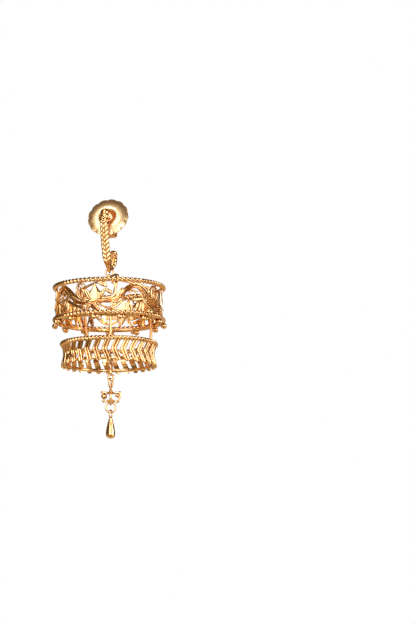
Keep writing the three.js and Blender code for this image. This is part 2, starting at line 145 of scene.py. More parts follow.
class EarringCrownSizes(bpy.types.PropertyGroup):
    """Sizes of the crown's two tiers"""

    rope: length("Rope", 1.15, "Thickness of the rope wires")
    upper_rope_radius: length("Upper rope radius", 12.75, "Radius of the upper tier's ropes")
    lower_rope_radius: length("Lower rope radius", 11.0, "Radius of the lower tier's rope")
    wall_radius: length("Wall radius", 12.35, "Radius of the pierced wall")
    rope_marks: count("Rope marks", 72, "Strand marks seen round each rope")
    repeats: count("Vine repeats", 4, "Times the lotus vine repeats round the wall")
    granules: count("Granules", 13, "Large granules under the upper tier")
    ribs: count("Ribs", 30, "Bent ribs round the lower tier")


class EarringDropSizes(bpy.types.PropertyGroup):
    """Sizes of the chain, bead and teardrop"""

    aside: length("Aside", 0.45, "How far the drop hangs beside the crown's axis")
    link_wire: length("Link wire", 0.27, "Radius of the chain's wire")
    bead_radius: length("Bead radius", 1.55, "Radius of the bead's cage")
    pear_length: length("Teardrop length", 4.7, "Length of the teardrop")
    pear_radius: length("Teardrop radius", 1.1, "Half the teardrop's greatest width")


class EarringGold(bpy.types.PropertyGroup):
    """Colours of the gold"""

    bright: colour("Bright gold", (0.93, 0.5, 0.12), "Colour of the polished metal")
    # Deep gold is painted shade: the colour mixed into the metal where ambient occlusion finds a recess.
    deep: colour("Deep gold", (0.5, 0.155, 0.02), "Colour of the metal in its recesses")
    pale: colour("Pale gold", (0.92, 0.62, 0.30), "Colour of the friction back's satin sheet")
    polish: share("Roughness", 0.14, "Roughness of the polished metal")
    satin: share("Satin roughness", 0.4, "Roughness of the friction back")


class EarringStudio(bpy.types.PropertyGroup):
    """The view and the stage"""

    azimuth: bearing("Azimuth", 13.0, "Turn of the view from the front")
    elevation: bearing("Elevation", -9.4, "Height of the view")
    distance: length("Distance", 1000.0, "Distance of the camera")
    field: length("Field", 147.3, "Height of the picture at the earring")
    floor_gap: length("Floor gap", 240.0, "Room between the earring and the floor")


SETTINGS = {
    "earring_hoop": EarringHoopSizes,
    "earring_crown": EarringCrownSizes,
    "earring_drop": EarringDropSizes,
    "earring_gold": EarringGold,
    "earring_studio": EarringStudio,
}


class Millimetres:
    """Reads a property group's lengths in millimetres."""

    def __init__(self, group):
        self.group = group

    def __getattr__(self, name):
        return getattr(self.group, name) / MM


def sizes_of(part):
    """The lengths of the hoop, the crown or the drop, in millimetres."""
    return Millimetres(getattr(bpy.context.scene, "earring_" + part))


# ---- Lines and skins ----


def unit(vectors):
    """Vectors made one long."""
    return vectors / np.maximum(np.linalg.norm(vectors, axis=-1, keepdims=True), 1e-12)


def once_round(steps):
    """Cosine and sine of even turns once round."""
    turn = np.arange(steps) * 2 * np.pi / steps
    return np.cos(turn), np.sin(turn)


def smooth_line(points, steps):
    """A Catmull-Rom curve through the points, as steps + 1 places evenly spaced along it. Each span is the
    cubic that leaves and reaches its ends at half the difference of the points on either side of them."""
    points = np.asarray(points, float)
    padded = np.vstack([2 * points[0] - points[1], points, 2 * points[-1] - points[-2]])
    spans = len(points) - 1
    place = np.linspace(0, spans, spans * 24 + 1)
    first = np.minimum(place.astype(int), spans - 1)
    f = (place - first)[:, None]
    a, b, c, d = (padded[first + k] for k in range(4))
    dense = b + 0.5 * ((c - a) * f + (2 * a - 5 * b + 4 * c - d) * f**2 + (3 * b - a - 3 * c + d) * f**3)
    along = np.concatenate([[0], np.cumsum(np.linalg.norm(np.diff(dense, axis=0), axis=1))])
    even = np.linspace(0, along[-1], steps + 1)
    return np.stack([np.interp(even, along, column) for column in dense.T], -1)


def facing_out(points, quads, fans):
    """A closed skin with its faces turned outwards. Its volume is a sixth of the sum, over its triangles, of
    one corner dotted with the cross product of the other two; where that is negative the faces turn round."""
    corners = np.vstack([quads[:, [0, 1, 2]], quads[:, [0, 2, 3]], fans])
    a, b, c = (points[corners[:, k]] for k in range(3))
    if np.einsum("ij,ij->", a, np.cross(b, c)) < 0:
        quads, fans = quads[:, ::-1], fans[:, ::-1]
    return points, quads, fans


def skin(rings, loop=False):
    """A closed skin over a stack of rings, an array of (ring, point, xyz). Four-sided faces join each ring
    to the next. A fan to the ring's mean closes each end of a stack that is no loop."""
    rows, columns = rings.shape[:2]
    row = np.arange(rows if loop else rows - 1)[:, None]
    column = np.arange(columns)[None, :]
    beside = (column + 1) % columns
    here, above = row * columns, (row + 1) % rows * columns
    quads = np.stack([here + column, here + beside, above + beside, above + column], -1).reshape(-1, 4)
    points = rings.reshape(-1, 3)
    fans = np.zeros((0, 3), int)
    if not loop:
        column, beside = column[0], beside[0]
        start = np.stack([np.full(columns, len(points)), beside, column], -1)
        last = (rows - 1) * columns
        end = np.stack([np.full(columns, len(points) + 1), last + column, last + beside], -1)
        fans = np.vstack([start, end])
        points = np.vstack([points, rings[[0, -1]].mean(1)])
    return facing_out(points, quads, fans)


def directions(line, beside, loop=False):
    """Unit vectors ahead, beside and across at each place on a line: ahead is the difference of its
    neighbours, beside is the given direction made square to it, and across is square to both."""
    if loop:
        ahead = unit(np.roll(line, -1, 0) - np.roll(line, 1, 0))
    else:
        ahead = unit(np.gradient(line, axis=0))
    beside = np.broadcast_to(np.asarray(beside, float), line.shape)
    beside = unit(beside - (beside * ahead).sum(-1, keepdims=True) * ahead)
    return ahead, beside, np.cross(ahead, beside)


DOME = np.radians([82.0, 58.0, 30.0])  # climbs of the circles that round a wire's end


def tube(line, radius, beside, sides=10, loop=False):
    """Wire along a line: at each place a circle of that radius, cos of the turn beside the line and sin of it
    across. An open end has a dome, circles that shrink by the cosine of their climb as they go on by its
    sine."""
    ahead, beside, across = directions(line, beside, loop)
    radius = np.full(len(line), float(radius))
    if not loop:
        lift, shrink = np.sin(DOME)[:, None], np.cos(DOME)
        start = line[0] - ahead[0] * radius[0] * lift
        end = line[-1] + ahead[-1] * radius[-1] * lift[::-1]
        line = np.vstack([start, line, end])
        radius = np.concatenate([radius[0] * shrink, radius, radius[-1] * shrink[::-1]])
        times = np.ones(len(beside), int)
        times[[0, -1]] += len(DOME)
        beside, across = np.repeat(beside, times, 0), np.repeat(across, times, 0)
    cos, sin = (wave[None, :, None] for wave in once_round(sides))
    circle = cos * beside[:, None] + sin * across[:, None]
    return skin(line[:, None] + circle * radius[:, None, None], loop)


POLE_GAP = 0.12  # from a ball's pole to its first circle, in radians


def ball(centre, radius, bands=10, sides=16):
    """A sphere: circles whose radius is the sine of their angle from its top, at the height of its cosine."""
    climb = np.linspace(POLE_GAP, np.pi - POLE_GAP, bands)[:, None]
    cos, sin = once_round(sides)
    shape = [np.sin(climb) * cos, np.sin(climb) * sin, np.cos(climb) * np.ones(sides)]
    return skin(np.asarray(centre) + radius * np.stack(shape, -1))


def turned(profile, place, sides=48, loop=False):
    """A turned shape: each (radius, height) of the profile goes once round, and place(x, y, height) puts its
    points where they belong."""
    radius, height = np.asarray(profile, float).T[:, :, None]
    cos, sin = once_round(sides)
    return skin(place(radius * cos, radius * sin, height * np.ones(sides)), loop)


SHARP = np.radians(50.0)  # an edge that turns by more than this is shaded sharp


def mesh_of(name, skins):
    """One mesh from closed skins, written whole: their points one after another, in metres, and their faces
    counted on from the points before them."""
    before = np.cumsum([0] + [len(points) for points, _, _ in skins])
    points = np.vstack([points for points, _, _ in skins]) * MM
    quads = np.vstack([quads + first for (_, quads, _), first in zip(skins, before)])
    fans = np.vstack([fans + first for (_, _, fans), first in zip(skins, before)])
    mesh = bpy.data.meshes.new(name)
    mesh.vertices.add(len(points))
    mesh.vertices.foreach_set("co", points.astype(np.float32).ravel())
    mesh.loops.add(quads.size + fans.size)
    mesh.loops.foreach_set("vertex_index", np.concatenate([quads.ravel(), fans.ravel()]).astype(np.int32))
    mesh.polygons.add(len(quads) + len(fans))
    starts = np.concatenate([np.arange(len(quads)) * 4, quads.size + np.arange(len(fans)) * 3])
    mesh.polygons.foreach_set("loop_start", starts.astype(np.int32))
    mesh.update(calc_edges=True)
    mesh.shade_smooth()
    mesh.set_sharp_from_angle(angle=SHARP)
    return mesh

def add_object(name, data):
    """An object of that data in the scene."""
    made = bpy.data.objects.new(name, data)
    bpy.context.scene.collection.objects.link(made)
    return made


def add_piece(name, skins, material, body, nodes=()):
    """An object of closed skins that rides on a CAD body and stands for the CAD nodes named."""
    piece = add_object(name, mesh_of(name, skins))
    piece.data.materials.append(material)
    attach(piece, body)
    "satin_gold" if material.name.startswith("satin") else "polished_gold"
    if nodes:
        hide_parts(*nodes)


# ---- Places on the crown ----

UP = np.array([0.0, 0.0, 1.0])

# Heights on the crown: the middles of its three ropes and the edges of the inner band.
UPPER_TOP = -3.97
UPPER_BOTTOM = -11.69
LOWER_TOP = -17.45
BAND_TOP = -11.75
BAND_LOW = -12.6


def crown_place(x, y, height):
    """A point of the crown's own frame in the row's frame: turned by the crown's turn about its axis."""
    x, y, height = np.broadcast_arrays(x, y, height)
    cos, sin = np.cos(CROWN_TURN), np.sin(CROWN_TURN)
    across, back = CROWN_AXIS[0] + x * cos - y * sin, CROWN_AXIS[1] + x * sin + y * cos
    return np.stack([across, back, HINGE[2] + height], -1)


def square_to(turn):
    """The level direction square to an upright plane turned by that angle from the crown's own."""
    return crown_place(-np.sin(turn), np.cos(turn), 0.0) - crown_place(0.0, 0.0, 0.0)


def on_wall(angle, height, radius):
    """The point at an angle in radians from the crown's front, towards +X, at that height and radius."""
    return crown_place(radius * np.sin(angle), -radius * np.cos(angle), height)


def outward(points):
    """Unit vectors level and away from the crown's axis."""
    away = points - np.array([*CROWN_AXIS, 0])
    away[..., 2] = 0
    return unit(away)


# A twisted rope's reach from its middle: at most, how far its grooves sink, and how soft their edges are.
ROPE_REACH = 1.04
ROPE_SINK = 0.56
ROPE_SOFT = 0.7


def rope(radius, height, thickness, marks):
    """Two wires twisted into a level ring, as one skin. Round its section, the skin sinks by a share of its
    radius where the sine of half a turn of phase is small; the phase is the strands times the turn of the
    section plus the marks times the turn of the ring, so that the marks slant down to the right."""
    strands, sides = 2, 18
    angle = (np.arange(marks * 12) / (marks * 12) * 2 * np.pi)[:, None]
    turn = (np.arange(sides) / sides * 2 * np.pi)[None]
    phase = (strands * turn + marks * angle) / (2 * np.pi)
    reach = ROPE_REACH - ROPE_SINK * (1 - np.abs(np.sin(np.pi * phase)) ** ROPE_SOFT)
    reach = thickness / 2 * reach
    return skin(on_wall(angle, height + reach * np.sin(turn), radius + reach * np.cos(turn)), loop=True)


# ---- Gold ----


def add_node(tree, kind, **values):
    """A shader node of that kind. Each value goes to the input of its name, with spaces for underscores."""
    node = tree.nodes.new("ShaderNode" + kind)
    for name, value in values.items():
        node.inputs[name.replace("_", " ")].default_value = value
    return node


def join(tree, *links):
    """Links nodes: each link is a node, its output, the next node and its input."""
    for source, output, target, entry in links:
        tree.links.new(source.outputs[output], target.inputs[entry])


ROUGHNESS_SPREAD = 0.16  # between the smoothest and the roughest places of a finish

# The worked gold group's sockets: name, kind and side.
GOLD_SOCKETS = [
    ("Metal", "Color", "INPUT"),
    ("Recess Shade", "Color", "INPUT"),
    ("Roughness", "Float", "INPUT"),
    ("Grain", "Float", "INPUT"),
    ("Depth", "Float", "INPUT"),
    ("Reach", "Float", "INPUT"),
    ("Color", "Color", "OUTPUT"),
    ("Roughness", "Float", "OUTPUT"),
    ("Height", "Float", "OUTPUT"),
]


def gold_surface_group():
    """The shared look of worked gold: its tone drifts a little over the surface, painted shade darkens it
    towards the deep colour in recesses, where ambient occlusion is low, and fine scratches and hammer marks
    break its shine."""
    group = bpy.data.node_groups.new("worked gold", "ShaderNodeTree")
    for name, kind, side in GOLD_SOCKETS:
        group.interface.new_socket(name=name, in_out=side, socket_type="NodeSocket" + kind)
    given, made = group.nodes.new("NodeGroupInput"), group.nodes.new("NodeGroupOutput")
    place = add_node(group, "TexCoord")

    tone = add_node(group, "TexNoise", Scale=260.0, Detail=3.0)
    strength = add_node(group, "MapRange", To_Min=0.86, To_Max=1.1)
    drift = add_node(group, "HueSaturation")

    # Painted shade: ambient occlusion mixes the deep colour into the metal in recesses.
    reach = add_node(group, "AmbientOcclusion")
    reach.samples = 8
    open_to_light = add_node(group, "MapRange", From_Min=0.2, From_Max=0.8)
    mix = add_node(group, "Mix")
    mix.data_type = "RGBA"

    grain = add_node(group, "TexNoise", Detail=4.0)
    rub, rise = add_node(group, "Math"), add_node(group, "Math")
    rub.operation, rise.operation = "MULTIPLY_ADD", "MULTIPLY"
    rub.inputs[1].default_value = ROUGHNESS_SPREAD
    join(
        group,
        (place, "Object", tone, "Vector"),
        (tone, "Fac", strength, "Value"),
        (strength, "Result", drift, "Saturation"),
        (given, "Metal", drift, "Color"),
        (given, "Reach", reach, "Distance"),
        (reach, "AO", open_to_light, "Value"),
        (open_to_light, "Result", mix, "Factor"),
        (given, "Recess Shade", mix, "A"),
        (drift, "Color", mix, "B"),
        (mix, "Result", made, "Color"),
        (place, "Object", grain, "Vector"),
        (given, "Grain", grain, "Scale"),
        (grain, "Fac", rub, 0),
        (given, "Roughness", rub, 2),
        (rub, "Value", made, "Roughness"),
        (grain, "Fac", rise, 0),
        (given, "Depth", rise, 1),
        (rise, "Value", made, "Height"),
    )
    return group


# Each finish: the grain's scale, its depth and how far the painted shade of a recess reaches, both in metres,
# and the weight and roughness of the coat.
FINISHES = {
    "polished gold": (1500.0, 0.00001, 0.0009, 1.0, 0.06),
    "hammered gold": (1300.0, 0.00012, 0.0009, 1.0, 0.06),
    "painted shade gold": (1300.0, 0.00008, 0.0016, 0.2, 0.06),
    "satin gold": (2600.0, 0.00002, 0.0016, 0.6, 0.22),
}
# Tone and roughness of the painted shade in the friction back's hollow.
PAINTED_SHADE_TONE = (0.8, 0.3, 0.05)
PAINTED_SHADE_ROUGHNESS = 0.5


def gold(name, metal, roughness):
    """A gold material: the worked gold group feeds a metallic Principled shader and its bump."""
    found = bpy.data.materials.get(name)
    if found:
        return found
    grain, depth, reach, coat, coat_roughness = FINISHES[name]
    material = bpy.data.materials.new(name)
    material.use_nodes = True
    tree = material.node_tree
    shader = tree.nodes["Principled BSDF"]
    shader.inputs["Metallic"].default_value = 1.0
    shader.inputs["Coat Weight"].default_value = coat
    shader.inputs["Coat Roughness"].default_value = coat_roughness
    shader.inputs["Coat IOR"].default_value = 2.45
    surface = tree.nodes.new("ShaderNodeGroup")
    surface.node_tree = bpy.data.node_groups.get("worked gold") or gold_surface_group()
    surface.inputs["Metal"].default_value = (*metal, 1)
    # The recess shade colour is painted shade, mixed in by ambient occlusion.
    surface.inputs["Recess Shade"].default_value = (*bpy.context.scene.earring_gold.deep, 1)
    surface.inputs["Roughness"].default_value = roughness - ROUGHNESS_SPREAD / 2
    surface.inputs["Grain"].default_value = grain
    surface.inputs["Depth"].default_value = depth
    surface.inputs["Reach"].default_value = reach
    bump = add_node(tree, "Bump", Distance=1.0)
    join(
        tree,
        (surface, "Color", shader, "Base Color"),
        (surface, "Roughness", shader, "Roughness"),
        (surface, "Height", bump, "Height"),
        (bump, "Normal", shader, "Normal"),
    )
    return material


def polished_gold():
    """The mirror finish of the wires, leaves and granules."""
    tone = bpy.context.scene.earring_gold
    return gold("polished gold", tone.bright, tone.polish)


def hammered_gold():
    """The dimpled finish of the upper tier's inner band, a little rougher than the polish."""
    tone = bpy.context.scene.earring_gold
    return gold("hammered gold", tone.bright, tone.polish + 0.1)


def painted_shade_gold():
    """Painted shade: a deep, rough tone for the lining of the friction back's hollow, darkening it where
    shade falls.
    """
    return gold("painted shade gold", PAINTED_SHADE_TONE, PAINTED_SHADE_ROUGHNESS)


def satin_gold():
    """The soft finish of the friction back's sheet."""
    tone = bpy.context.scene.earring_gold
    return gold("satin gold", tone.pale, tone.satin)


# ---- Ear hoop ----

# Depth and height of the hoop's middle line, from the top of its front strand round to its free end.
HOOP_LOWEST_DEPTH = 5.7
HOOP_LINE = [
    (1.0, 14.25),
    (0.25, 11.2),
    (1.1, 7.6),
    (2.4, 4.2),
    (3.9, 1.3),
    (HOOP_LOWEST_DEPTH, 0.0),
    (7.7, 1.0),
    (9.1, 3.0),
    (9.5, 5.7),
]
SIDEWAYS = np.array([1.0, 0.0, 0.0])
SLIM_LENGTH = 0.7  # of line each way from the lowest point, over which the hoop stays slim
GROWING_LENGTH = 4.0  # of line after that, over which it reaches its full size


def hoop_middle(steps):
    """The hoop's middle line, its size from slim to full, and the length along it. Beyond the slim length
    on either side of the lowest point, the size grows as a smooth step over the growing length."""
    depth, height = smooth_line(HOOP_LINE, steps).T
    line = np.stack([np.zeros_like(depth), HINGE[1] + depth - HOOP_LOWEST_DEPTH, HINGE[2] + height], -1)
    along = np.linspace(0, 1, steps + 1) * np.linalg.norm(np.diff(line, axis=0), axis=1).sum()
    sizes = sizes_of("hoop")
    away = np.abs(along - along[np.argmin(height)])
    step = np.clip((away - SLIM_LENGTH) / GROWING_LENGTH, 0, 1)
    slim = sizes.slim / sizes.half_width
    size = slim + (1 - slim) * step * step * (3 - 2 * step)
    return line, size, along


CHEVRON_RISE = 0.76  # how far a chevron's arms rise, in pitches
CHEVRON_SIDE = 0.1  # how far a groove sinks at the hoop's sides, as a share of the section
CHEVRON_FRONT = 0.24  # how much more it sinks in front and behind
PLAIT_DEPTH = 0.76  # of the hoop's section, over its width
CHEVRON_SOFT = 0.96  # 1 would leave the saw wave's edges sharp
CHEVRONS_FROM = 0.34  # share of the hoop's full size from which the chevrons show
CHEVRONS_OVER = 0.25  # over which they reach their full depth
END_DOME = 0.85  # length of the hoop's rounded ends


def hoop_braid():
    """The hoop's plait, as one skin. Its section is an oval. It sinks between one chevron and the next as
    a softened saw wave of a phase: the length along it over the pitch, plus the rise times the cosine of the
    turn, taken positive, and that runs on over the inner face. The chevrons fade where the hoop is slim, and
    both ends close as domes."""
    sizes = sizes_of("hoop")
    line, size, along = hoop_middle(520)
    front = np.cross(unit(np.gradient(line, axis=0)), SIDEWAYS)[:, None]
    cos, sin = (wave[None] for wave in once_round(64))
    climb = np.where(sin >= 0, np.abs(cos), 2 - np.abs(cos)) * CHEVRON_RISE
    phase = along[:, None] / sizes.pitch + climb
    groove = 0.5 + np.arcsin(CHEVRON_SOFT * np.cos(2 * np.pi * phase)) / np.pi
    full = np.clip((size - CHEVRONS_FROM) / CHEVRONS_OVER, 0, 1)
    fade = (full * full * (3 - 2 * full))[:, None]
    sink = (CHEVRON_SIDE + CHEVRON_FRONT * np.abs(sin)) * groove * fade
    dome = np.clip(np.minimum(along, along[-1] - along) / END_DOME, 0.02, 1)
    swell = (size * np.sqrt(1 - (1 - dome) ** 2))[:, None] * sizes.half_width
    across = swell * cos * (1 - sink * np.abs(cos))
    depth = swell * sin * (PLAIT_DEPTH - sink)
    return skin(line[:, None] + across[..., None] * SIDEWAYS + depth[..., None] * front)


EAR_DISTANCE = 1.9  # from the front strand to the ear hole, along the post
POST_SIDE = np.cross(POST_WAY, SIDEWAYS)


def along_post(x, y, distance):
    """A point beside the post: x sideways, y across, and a distance from the front strand."""
    x, y, distance = (np.asarray(value)[..., None] for value in np.broadcast_arrays(x, y, distance))
    return x * SIDEWAYS - y * POST_SIDE + (distance - EAR_DISTANCE) * POST_WAY


NOTCH_FROM_END = 1.45
NOTCH_RADIUS = 0.78  # of the post's


def ear_post():
    """A turned pin with a shallow notch near its rounded tip."""
    sizes = sizes_of("hoop")
    r, end = sizes.post_radius, sizes.post_length
    notch, slim = end - NOTCH_FROM_END, r * NOTCH_RADIUS
    profile = [(r, 0), (r, notch - 0.3), (slim, notch - 0.1), (slim, notch + 0.1), (r, notch + 0.3)]
    profile += [(r, end - r), (r * 0.87, end - r * 0.5), (r * 0.5, end - r * 0.13), (r * 0.1, end)]
    return [turned(profile, along_post, 20)]


# ---- Friction back ----

CLUTCH_DISTANCE = 2.7  # from the front strand to the disc's rim, along the post
BORE = 0.48  # radius of the hole that the post goes through


def disc_place(x, y, height):
    """A point of the friction back, its height counted from the disc's rim along the post."""
    return along_post(x, y, CLUTCH_DISTANCE + height)


# Radius and depth of the disc's front, from the bore out to the rim.
DISC_FRONT = [(BORE, 1.05), (1.0, 1.0), (1.45, 0.8), (1.75, 0.4), (2.0, 0.1), (2.4, 0.0), (3.1, 0.06),
              (3.9, 0.27)]
RIM_DROP = 0.72
RIM_ROUND = 0.3  # how far the rim's rounded edge stands out, over the sheet's thickness
SCALLOP_LEVEL = 0.75  # of a lobe's height, where it neither swells nor shrinks the rim
SCALLOP_REACH = 0.05  # how far the scallops swell the rim, as a share of its radius
SCALLOP_DIP = 0.12  # how far they bend it


def back_disc():
    """A dished sheet, turned about the post: a deep round recess round the bore, and a ring that curves back
    to the rim. Near the rim, by high powers of the radius, its size and depth follow the scallops, round
    lobes with a sharp notch between them."""
    group = bpy.context.scene.earring_hoop
    sizes = Millimetres(group)
    rim = sizes.disc_radius
    line = smooth_line([*DISC_FRONT, (rim, RIM_DROP)], 60)
    ahead = unit(np.gradient(line, axis=0))
    across = np.stack([-ahead[:, 1], ahead[:, 0]], -1) * sizes.sheet
    edge = line[-1] + ahead[-1] * sizes.sheet * RIM_ROUND + across[-1] / 2
    profile = np.vstack([line, edge, (line + across)[::-1]])

    def place(x, y, height):
        reach = np.hypot(x, y) / rim
        lobe = np.abs(np.cos(np.arctan2(y, x) * group.scallops / 2)) ** 0.5 - SCALLOP_LEVEL
        grow = 1 + SCALLOP_REACH * reach**12 * lobe
        return disc_place(x * grow, y * grow, height - SCALLOP_DIP * reach**10 * lobe)

    return [turned(profile, place, group.scallops * 18, loop=True)]


# Radius and depth of the hollow's lining, a dark sheet of painted shade, out along its front and back along
# its rear.
LINING_BORE = BORE + 0.02
LINING = [(LINING_BORE, 0.98), (1.0, 0.93), (1.42, 0.74), (1.68, 0.42), (1.7, 0.5), (1.48, 0.86),
          (1.02, 1.06), (LINING_BORE, 1.1)]


def hollow_shade_lining():
    """A thin dark lining of the recess round the bore, turned about the post: painted shade in the hollow."""
    return [turned(LINING, disc_place, 60, loop=True)]


ROLL_RADIUS = 1.75
ROLL_HALF_WIDTH = 1.65
ROLL_HEIGHT = 2.85
ROLL_TURNS = 1.08
ROLL_TIGHTENS = 0.7
COLLAR_RADIUS = 1.05
COLLAR_THICK = 1.1  # over the sheet's thickness
SEAT_START = 0.8  # where the straight strips start, over the collar's radius


def strip(line, half_width, half_thick):
    """A flat strip along a line in the post's plane: its section is a rounded box, the fourth root of the sum
    of fourth powers."""
    ahead, beside, across = directions(line, SIDEWAYS)
    cos, sin = once_round(24)
    box = (cos**4 + sin**4) ** 0.25
    section = half_width * (cos / box)[None, :, None] * beside[:, None]
    section = section + half_thick * (sin / box)[None, :, None] * across[:, None]
    return skin(line[:, None] + section)


def back_rolls():
    """Two strips that run out behind the disc and roll back on themselves: circles whose radius shrinks
    steadily as they turn. A straight strip runs from each to a flat collar, which is open where the post
    goes through."""
    sheet = sizes_of("hoop").sheet
    middle = BORE + sheet + ROLL_RADIUS
    seat_height = ROLL_HEIGHT - ROLL_RADIUS
    rolled = np.linspace(0, 1, 73)
    turn = (rolled * ROLL_TURNS - 0.25) * 2 * np.pi
    reach = ROLL_RADIUS - ROLL_TIGHTENS * rolled
    skins = []
    for way in (1, -1):
        line = disc_place(0.0, way * (middle + reach * np.cos(turn)), ROLL_HEIGHT + reach * np.sin(turn))
        skins.append(strip(line, ROLL_HALF_WIDTH, sheet / 2))
        seat = disc_place(0.0, way * np.linspace(SEAT_START * COLLAR_RADIUS, middle, 5), seat_height)
        skins.append(strip(seat, ROLL_HALF_WIDTH, sheet / 2))
    low, high = (seat_height + way * COLLAR_THICK / 2 * sheet for way in (-1, 1))
    collar = [(BORE, low), (COLLAR_RADIUS, low), (COLLAR_RADIUS, high), (BORE, high)]
    skins.append(turned(collar, disc_place, loop=True))
    return skins


# ---- Jump ring and hanger ----

JUMP_RADIUS = 0.9
JUMP_WIRE = 0.2


def upright_circle(middle, radius, ahead, wire, steps):
    """A ring of wire in an upright plane: the cosine of the turn ahead, and the sine of it up."""
    cos, sin = (wave[:, None] for wave in once_round(steps))
    out = cos * ahead + sin * UP
    return tube(middle + radius * out, wire, out, 14, loop=True)


def jump_ring():
    """A round ring of wire from the hoop's lowest point down to the crown's eye."""
    return [upright_circle(RING_SEAT + JUMP_RADIUS * UP, JUMP_RADIUS, SIDEWAYS, JUMP_WIRE, 56)]


EYE_WIRE = 0.24
EYE_RADIUS = 0.51
HANGER_ANGLES = np.radians([10.0, 127.0, -144.0])
LEG_WIRE = 0.28
LEG_OVER = 0.975  # from the top rope's middle out to a leg's
STRUT_WIRE = 0.36
STRUT_LEAN = np.radians(7.0)
STRUT_RADIUS = 11.52


def leg_line(angle, eye_low):
    """A leg's middle line: from the eye out under the hoop, over the top rope and down its outside."""
    rope_radius = sizes_of("crown").upper_rope_radius
    places = [(3.2, -1.75), (7.2, -2.05), (10.4, -2.55), (rope_radius - 0.5, UPPER_TOP + LEG_OVER + 0.08)]
    places += [(rope_radius + LEG_OVER * 0.78, UPPER_TOP + LEG_OVER * 0.78)]
    places += [(rope_radius + LEG_OVER + 0.06, UPPER_TOP)]
    wall = [on_wall(angle, height, radius) for radius, height in places]
    return smooth_line(np.vstack([eye_low, *wall]), 60)


# A strut's places: radius over its own, height, and share of its lean.
STRUT = [(-0.65, -2.62, 0), (-0.15, -3.2, 0), (0, -4.9, 0.08), (0, -9.6, 0.7), (-0.1, -13.4, 0.95),
         (-0.52, LOWER_TOP + 0.62, 1)]


def strut_line(angle):
    """A strut's middle line: from its leg, down inside the wall, to the lower tier's rope."""
    radius, height, lean = np.array(STRUT).T
    return smooth_line(on_wall(angle - lean * STRUT_LEAN, height, STRUT_RADIUS + radius), 50)


def hanger_wires():
    """The eye, three legs that spread from it and three struts that carry the lower tier."""
    skins = [upright_circle(RING_SEAT, EYE_RADIUS, np.array([0, 1.0, 0]), EYE_WIRE, 48)]
    for angle in HANGER_ANGLES:
        skins.append(tube(leg_line(angle, RING_SEAT - UP * EYE_RADIUS), LEG_WIRE, UP + 0.1 * SIDEWAYS, 12))
        line = strut_line(angle)
        skins.append(tube(line, STRUT_WIRE, np.cross(outward(line), UP), 14))
    return skins


# Beads of solder along each strut: share of its lean, height, how far outside it, and radius.
SOLDER = [(0.05, -3.55, 0.32, 0.42), (0.86, -12.3, 0.22, 0.42)]
LEG_SOLDER = 0.36
FOOT_SOLDER = 0.5
EYE_SOLDER = 0.42


def hanger_solder():
    """Beads of solder where the legs and struts meet the tiers and the eye."""
    rope_radius = sizes_of("crown").upper_rope_radius
    beads = [(RING_SEAT - UP * (EYE_RADIUS + 0.12), EYE_SOLDER)]
    for angle in HANGER_ANGLES:
        beads.append((strut_line(angle)[-1], FOOT_SOLDER))
        for lean, height, outside, radius in SOLDER:
            beads.append((on_wall(angle - lean * STRUT_LEAN, height, STRUT_RADIUS + outside), radius))
        beads.append((on_wall(angle, UPPER_TOP + 0.1, rope_radius + 0.8), LEG_SOLDER))
    return [ball(place, radius, 8, 14) for place, radius in beads]


# ---- Upper tier ----

def pattern(places, wall_radius):
    """Places of the flat pattern: degrees from the crown's front made millimetres of arc, and heights."""
    places = np.asarray(places, float)
    return places * [np.pi / 180 * wall_radius, 1]


def bend(arc, height, lift, turn_by, wall_radius):
    """The flat pattern bent round the wall: the arc over the radius is the angle, and the lift stands out."""
    return on_wall(arc / wall_radius + turn_by, height, wall_radius + lift)


ACROSS = np.linspace(-1, 1, 15)
FINE_ACROSS = np.linspace(-1, 1, 31)
BACK = np.array([0.9, 0.45, 0, -0.45, -0.9])


def strip_places(line, ahead, width, v, front, thick):
    """Arc, height and lift of a strip along a line of the flat pattern. Its places lie v half widths to the
    side of the line, square to its way ahead. They stand out by front, and behind it, at BACK's places, the
    strip is flat, thick millimetres under the wall's face."""
    side = np.stack([-ahead[:, 1], ahead[:, 0]], -1)
    reach = np.concatenate([v, BACK])[None]
    arc = line[:, :1] + side[:, :1] * reach * width
    height = line[:, 1:] + side[:, 1:] * reach * width
    behind = np.full((len(line), len(BACK)), -thick)
    return arc, height, np.hstack([np.broadcast_to(front, (len(line), len(v))), behind])


def moulding(line, half_width, crest, thick, turn_by, wall_radius):
    """A moulded strip along a line of the flat pattern: crest(v) gives its front, from v = -1 to 1, and it
    is lower, by the power 0.6 of its width, where it is narrow."""
    width = half_width[:, None]
    front = crest(ACROSS)[None] * (width / width.max()) ** 0.6
    places = strip_places(line, unit(np.gradient(line, axis=0)), width, ACROSS, front, thick)
    return skin(bend(*places, turn_by, wall_radius))


def round_crest(rise):
    """A round front: the square root of what the power 2.4 of the way from the middle leaves of 1."""
    return lambda v: rise * np.sqrt(1 - np.minimum(1, np.abs(v)) ** 2.4)


# The main vine's front: from its lower edge, -1, to its upper edge, 1, and how far it stands out. Two ridges
# with a groove between them, and a long hollow slope above.
VINE_FRONT = [(-1, 0.1), (-0.92, 0.3), (-0.82, 0.36), (-0.7, 0.28), (-0.62, 0.2), (-0.52, 0.38), (-0.4, 0.54),
              (-0.3, 0.52), (-0.1, 0.3), (0.15, 0.15), (0.45, 0.07), (0.75, 0.06), (0.93, 0.12), (1, 0.08)]


def vine_crest(v):
    """The main vine's front, smoothed between the table's rows."""
    line = smooth_line(VINE_FRONT, 120)
    return np.interp(v, line[:, 0], line[:, 1])


def leaf_crest(rise, vein):
    """A leaf's front: a low arch with a groove of that depth down its middle and a rim along its edges."""
    return lambda v: rise * (1 - v * v) ** 0.55 - vein * np.exp(-((v / 0.13) ** 2)) + 0.03


